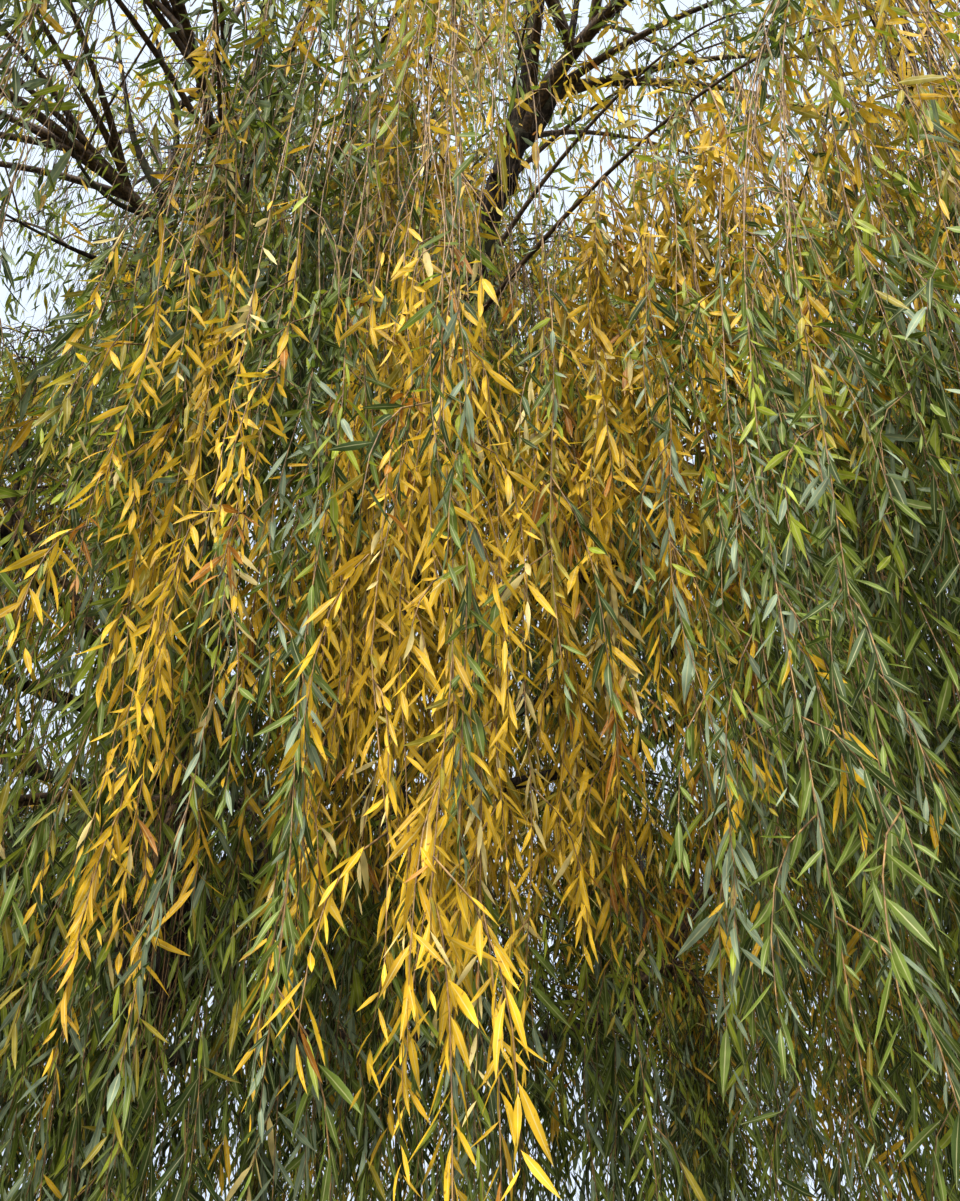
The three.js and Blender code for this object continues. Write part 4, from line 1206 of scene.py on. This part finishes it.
def makeLeaves():
    # Leaves of one tint and one form are joined, in pieces of under 190,000 triangles.
    unfixed = np.full(len(whips) + len(shoots), np.nan)
    groups = [
        leavesOn(whips, unfixed, 1.0), leavesOn(shoots, unfixed, 1.15),
        leavesOn(heroes, heroGold, 1.7, 0.74), leavesOn(heroShoots, heroGold[heroOwner], 1.6, 0.7),
    ]
    leaves = thinned({name: np.concatenate([group[name] for group in groups]) for name in groups[0]})
    tint = tintOf(leaves)
    form = np.searchsorted(leafRule["forms"], leaves["away"])
    print("leaves:", len(tint), "near, middle, far and farthest:", np.bincount(form, minlength=4))
    total = 0
    for formIndex, (formName, formValues) in enumerate(leafForms.items()):
        most = leafRule["mostTriangles"] // ((4 if formValues["rib"] else 2) * len(formValues["rows"]))
        for tintIndex, tintName in enumerate(leafTints):
            chosen = np.flatnonzero((form == formIndex) & (tint == tintIndex))
            for part in range(0, len(chosen), most):
                some = {name: values[chosen[part:part + most]] for name, values in leaves.items()}
                vertices, faces, uv = leafBlades(some, formValues)
                number = "" if len(chosen) <= most else f"_{part // most + 1}"
                name = f"leaves_{tintName}_{formName}{number}"
                slotName = "gold_leaves" if tintIndex < goldTints else "green_leaves"
                newPiece(name, vertices, faces, leafSkins[tintIndex], slotName, uv)
                total += len(faces)
    print("leaf triangles:", total)


makeLeaves()


# The room: a pale floor, soft light from the sky on all sides and a broad soft lamp behind the viewer, like a
# pale sun. Light that has bounced between leaves more than once adds little here and makes the picture slow.
stage = {
    "floor": "#a6a39b", "floorSize": 400.0, "sky": "#d8e4f4", "skyStrength": 1.12, "bounces": 1,
    "lampTurn": (48, 0, -25), "lampAngle": 60, "lampStrength": 6.0,
}


def placed(name, data):
    # A new object of the scene that holds the data.
    holder = bpy.data.objects.new(name, data)
    bpy.context.scene.collection.objects.link(holder)
    return holder


def makeStage():
    # A square floor round the origin, an even sky, and a lamp turned from straight down by its angles.
    half = stage["floorSize"] / 2
    mesh = bpy.data.meshes.new("floor")
    corners = [(-half, -half, 0), (half, -half, 0), (half, half, 0), (-half, half, 0)]
    mesh.from_pydata(corners, [], [(0, 1, 2, 3)])
    placed("floor", mesh)
    material, tree = newMaterial("plaster_floor")
    shader = addNode(tree, "BsdfPrincipled", {"Base Color": linearColour(stage["floor"]), "Roughness": 0.9})
    addNode(tree, "OutputMaterial", {0: shader})
    mesh.materials.append(material)
    world = bpy.data.worlds.new("sky")
    world.use_nodes = True
    background = world.node_tree.nodes["Background"]
    background.inputs[0].default_value = linearColour(stage["sky"])
    background.inputs[1].default_value = stage["skyStrength"]
    bpy.context.scene.world = world
    lamp = bpy.data.lights.new("soft_lamp", "SUN")
    lamp.energy, lamp.angle = stage["lampStrength"], math.radians(stage["lampAngle"])
    placed("soft_lamp", lamp).rotation_euler = [math.radians(turn) for turn in stage["lampTurn"]]
    cycles = bpy.context.scene.cycles
    cycles.max_bounces = cycles.diffuse_bounces = stage["bounces"]
    cycles.glossy_bounces = cycles.transmission_bounces = 0


def makeCamera():
    # The viewer stands outside the curtain and looks up into the crown: level is 90 degrees, plus the pitch.
    camera = bpy.data.cameras.new("camera")
    camera.sensor_width, camera.lens = viewer["sensor"], viewer["lens"]
    camera.clip_start, camera.clip_end = viewer["closest"], stage["floorSize"] / 2
    holder = placed("camera", camera)
    holder.location = viewer["position"]
    holder.rotation_euler = (math.radians(90 + viewer["pitch"]), 0, 0)
    bpy.context.scene.camera = holder
    bpy.context.scene.view_settings.view_transform = "Standard"
    bpy.context.scene.view_settings.look = viewer["look"]


makeStage()
makeCamera()
print("stage, light and camera set")
